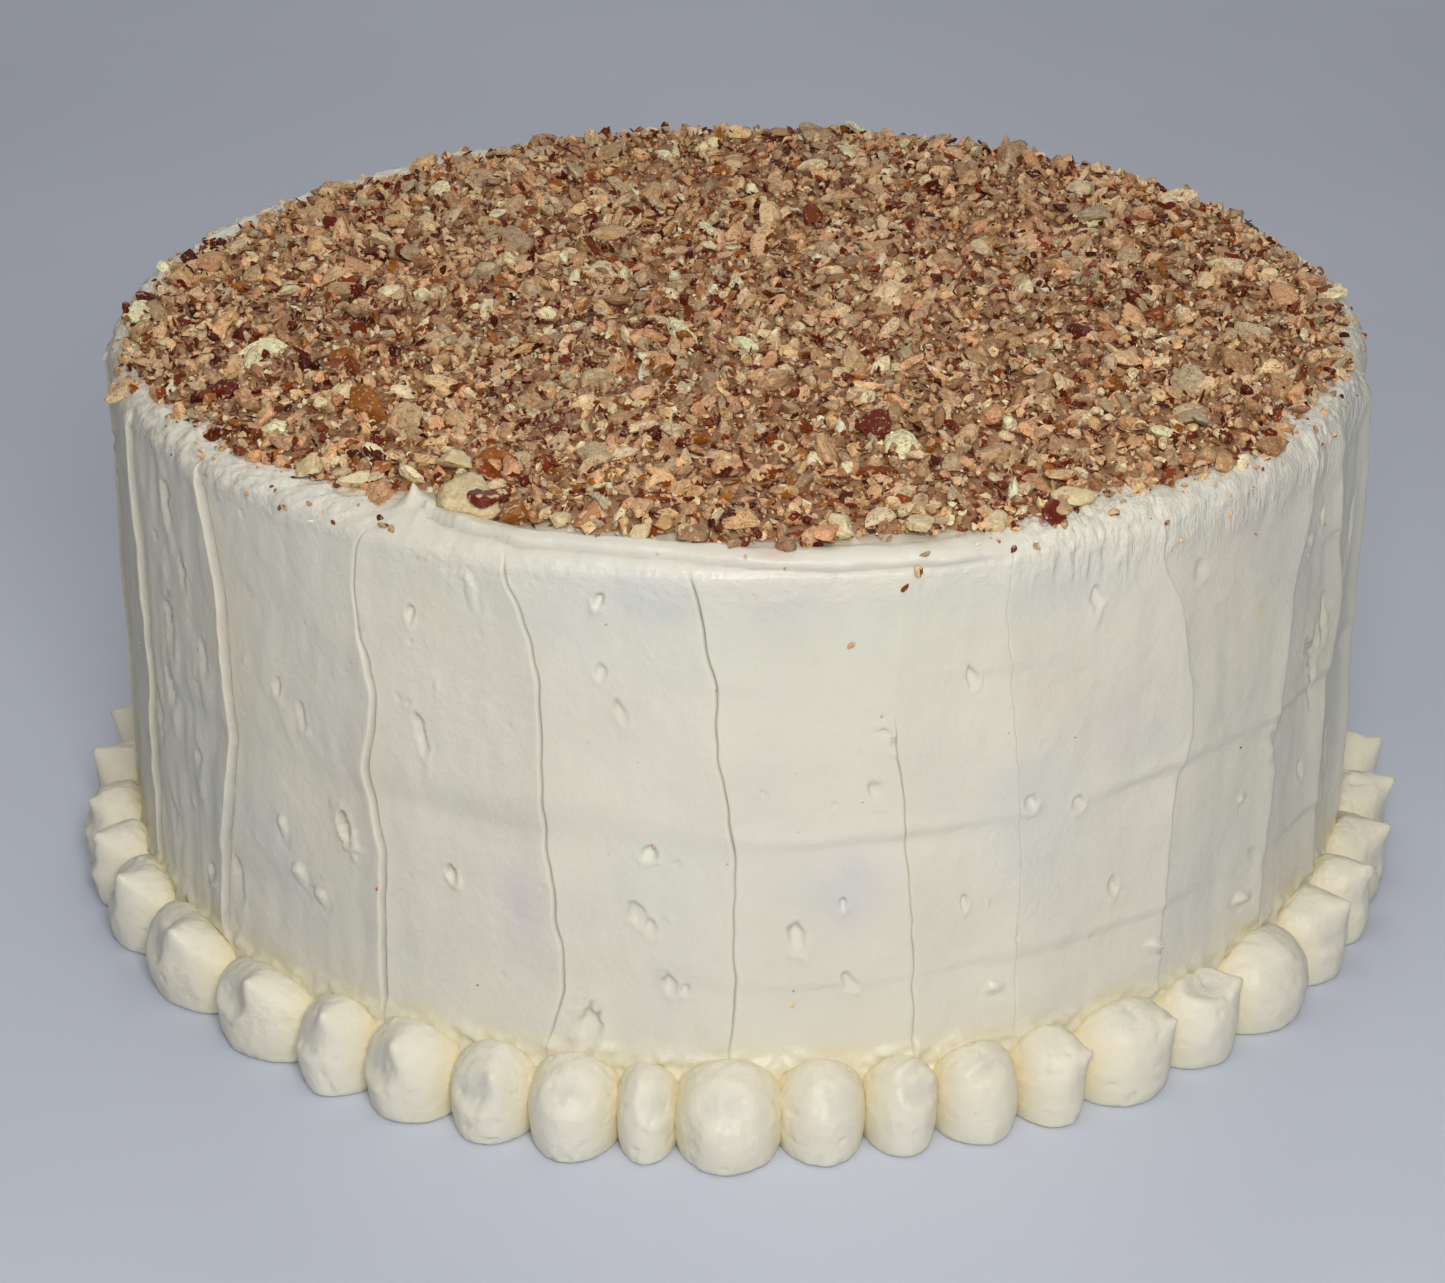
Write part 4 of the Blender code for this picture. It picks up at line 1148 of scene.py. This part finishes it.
def add_worked_grain(tree, below):
    """Striations, torn grain and glistening beads of icing where the mesh says that the knife left them."""
    masks = tree.nodes.new("ShaderNodeSeparateColor")
    tree.links.new(add_attribute(tree, "worked"), masks.inputs["Color"])
    for channel, noise, distance in WORKED_GRAINS:
        height = add_product(tree, add_noise(tree, *noise), masks.outputs[channel])
        below = add_bump(tree, height, 1.0, distance, below)
    return below


def make_icing(name, cream, warm, roughness):
    """Whipped butter icing: cream with faint warmer drifts, a soft sheen and a skin of fine bubbles."""
    material, tree = start_material(name)
    drift = add_range(tree, add_noise(tree, 22.0), 0.35, 0.65)
    colour = add_mix(tree, drift, cream, warm)
    surface = add_bump(tree, add_noise(tree, 1500.0, 2.0), 0.5, 0.12)
    surface = add_bump(tree, add_noise(tree, 330.0, 4.0, 0.6), 0.6, 0.40, surface)
    finish_material(tree, {
        "Base Color": add_mix(tree, 1.0, colour, add_attribute(tree, "tint"), "MULTIPLY"),
        "Roughness": add_range(tree, add_noise(tree, 90.0), 0.3, 0.7, roughness - 0.07, roughness + 0.1),
        "Normal": add_worked_grain(tree, surface),
        "Subsurface Weight": 0.25,
        "Subsurface Radius": (1.0, 0.75, 0.5),
        "Subsurface Scale": 2.0 * MM,
        "Specular IOR Level": 0.45,
    })
    return material


def make_chip_material():
    """Chopped pecan: each face's own colour, mottled, with thin lines of skin, meal dust and a dry grain."""
    material, tree = start_material("chopped_pecan_pieces")
    mottle = add_range(tree, add_noise(tree, 800.0, 3.0, 0.6), 0.3, 0.7, 0.76, 1.20)
    shade = tree.nodes.new("ShaderNodeCombineColor")
    for channel in ("Red", "Green", "Blue"):
        tree.links.new(mottle, shade.inputs[channel])
    colour = add_mix(tree, 1.0, add_attribute(tree, "chip_colour"), shade.outputs["Color"], "MULTIPLY")
    crinkle = add_noise(tree, 430.0, 4.0, 0.6)
    line = add_range(tree, crinkle, 0.486, 0.495, 0.0, 0.85)
    past = add_range(tree, crinkle, 0.505, 0.514, 1.0, 0.0)
    colour = add_mix(tree, add_product(tree, line, past), colour, SKINS[1])
    dust = add_range(tree, add_noise(tree, 1500.0, 2.0), 0.60, 0.68, 0.0, 0.4)
    finish_material(tree, {
        "Base Color": add_mix(tree, dust, colour, CREAM_FLESH),
        "Roughness": add_range(tree, add_noise(tree, 400.0), 0.3, 0.7, 0.45, 0.75),
        "Normal": add_bump(tree, add_noise(tree, 1300.0, 4.0, 0.6), 0.6, 0.24),
        "Specular IOR Level": 0.28,
    })
    return material


def make_kernel_material():
    """The waxy flesh and skin of the large pieces: their own colour, mottled, with meal clinging to it."""
    material, tree = start_material("pecan_kernel")
    cloud = add_range(tree, add_noise(tree, 330.0, 4.0, 0.6), 0.3, 0.7)
    mottled = add_mix(tree, cloud, (0.72, 0.64, 0.56), (1.10, 1.08, 1.04))
    colour = add_mix(tree, 1.0, add_attribute(tree, "chip_colour"), mottled, "MULTIPLY")
    dust = add_range(tree, add_noise(tree, 700.0, 3.0), 0.58, 0.64, 0.0, 0.6)
    finish_material(tree, {
        "Base Color": add_mix(tree, dust, colour, CREAM_FLESH),
        "Roughness": 0.42,
        "Normal": add_bump(tree, add_noise(tree, 700.0, 4.0, 0.6), 0.9, 0.45),
        "Subsurface Weight": 0.2,
        "Subsurface Radius": (1.0, 0.6, 0.3),
        "Subsurface Scale": 1.5 * MM,
        "Specular IOR Level": 0.35,
    })
    return material


def make_bed_material():
    """The meal between the pieces: tan to dark brown flour, the dark partly painted shade in the gaps
    between pieces, with specks of dark skin.
    """
    material, tree = start_material("pecan_meal_bed")
    flour = add_mix(tree, add_noise(tree, 260.0, 4.0, 0.6), *MEAL_AND_GAP_SHADE_COLOURS)
    specks = add_range(tree, add_noise(tree, 620.0, 2.0), 0.56, 0.62)
    finish_material(tree, {
        "Base Color": add_mix(tree, specks, flour, SKINS[1]),
        "Roughness": 0.8,
        "Normal": add_bump(tree, add_noise(tree, 800.0, 5.0, 0.7), 1.0, 0.6),
    })
    return material


def make_floor():
    """The plain pale floor, of which the cake hides the middle."""
    material, tree = start_material("pale_floor")
    tone = add_range(tree, add_noise(tree, 3.0), 0.35, 0.65)
    finish_material(tree, {"Base Color": add_mix(tree, tone, *FLOOR_COLOURS), "Roughness": 0.6})
    low, high = -FLOOR_HALF, FLOOR_HALF
    corners = [(x, y, FLOOR_HEIGHT) for x, y in ((low, low), (high, low), (high, high), (low, high))]
    add_mesh("floor", corners, [(0, 1, 2, 3)], material, smooth=False)


def make_lights():
    """A soft light near the camera, one overhead, one behind the cake and an even sky."""
    aim = Vector(LIGHT_AIM) * MM
    for name, azimuth, elevation, distance, size, power in LIGHTS:
        lamp = bpy.data.lights.new(name, "AREA")
        lamp.size = size * MM
        lamp.energy = power
        lamp.color = LIGHT_COLOUR
        level = distance * math.cos(math.radians(elevation))
        place = Vector(around(azimuth, level, distance * math.sin(math.radians(elevation)))) * MM + aim
        made = bpy.data.objects.new(name, lamp)
        made.location = place
        made.rotation_mode = "QUATERNION"
        made.rotation_quaternion = (aim - place).to_track_quat("-Z", "Y")
        bpy.context.scene.collection.objects.link(made)
    world = bpy.data.worlds.new("studio_sky")
    world.use_nodes = True
    sky = world.node_tree.nodes["Background"]
    sky.inputs["Color"].default_value = (*SKY_COLOUR, 1.0)
    sky.inputs["Strength"].default_value = SKY_STRENGTH
    bpy.context.scene.world = world


def make_camera():
    """The photograph's camera: its place, turn and focal length."""
    down, turn = math.radians(CAMERA_ELEVATION), math.radians(CAMERA_TURN)
    ahead = Vector((math.sin(turn) * math.cos(down), math.cos(turn) * math.cos(down), -math.sin(down)))
    right = Vector((math.cos(turn), -math.sin(turn), 0.0))
    camera = bpy.data.cameras.new("camera")
    camera.sensor_width = SENSOR_WIDTH
    camera.lens = FOCAL_PIXELS / IMAGE_WIDTH * SENSOR_WIDTH
    made = bpy.data.objects.new("camera", camera)
    place = (Vector(CAMERA_TARGET) - CAMERA_DISTANCE * ahead) * MM
    axes = Matrix((right, right.cross(ahead), -ahead)).transposed()
    made.matrix_world = Matrix.Translation(place) @ axes.to_4x4()
    bpy.context.scene.collection.objects.link(made)
    bpy.context.scene.camera = made


def main():
    """The camera, the lights and the floor, and then the cake."""
    bpy.context.scene.view_settings.view_transform = "Standard"
    make_camera()
    make_lights()
    make_floor()
    points, run = make_body(make_icing("smoothed_butter_icing", ICING_CREAM, ICING_WARM, ICING_ROUGHNESS))
    make_nut_bed(make_bed_material())
    chips = make_chip_material()
    make_chips(chips)
    make_shown_pieces(make_kernel_material())
    make_crumbs(points, run, chips)
    make_beads(make_icing("piped_butter_icing", PIPED_CREAM, PIPED_WARM, PIPED_ROUGHNESS))


main()
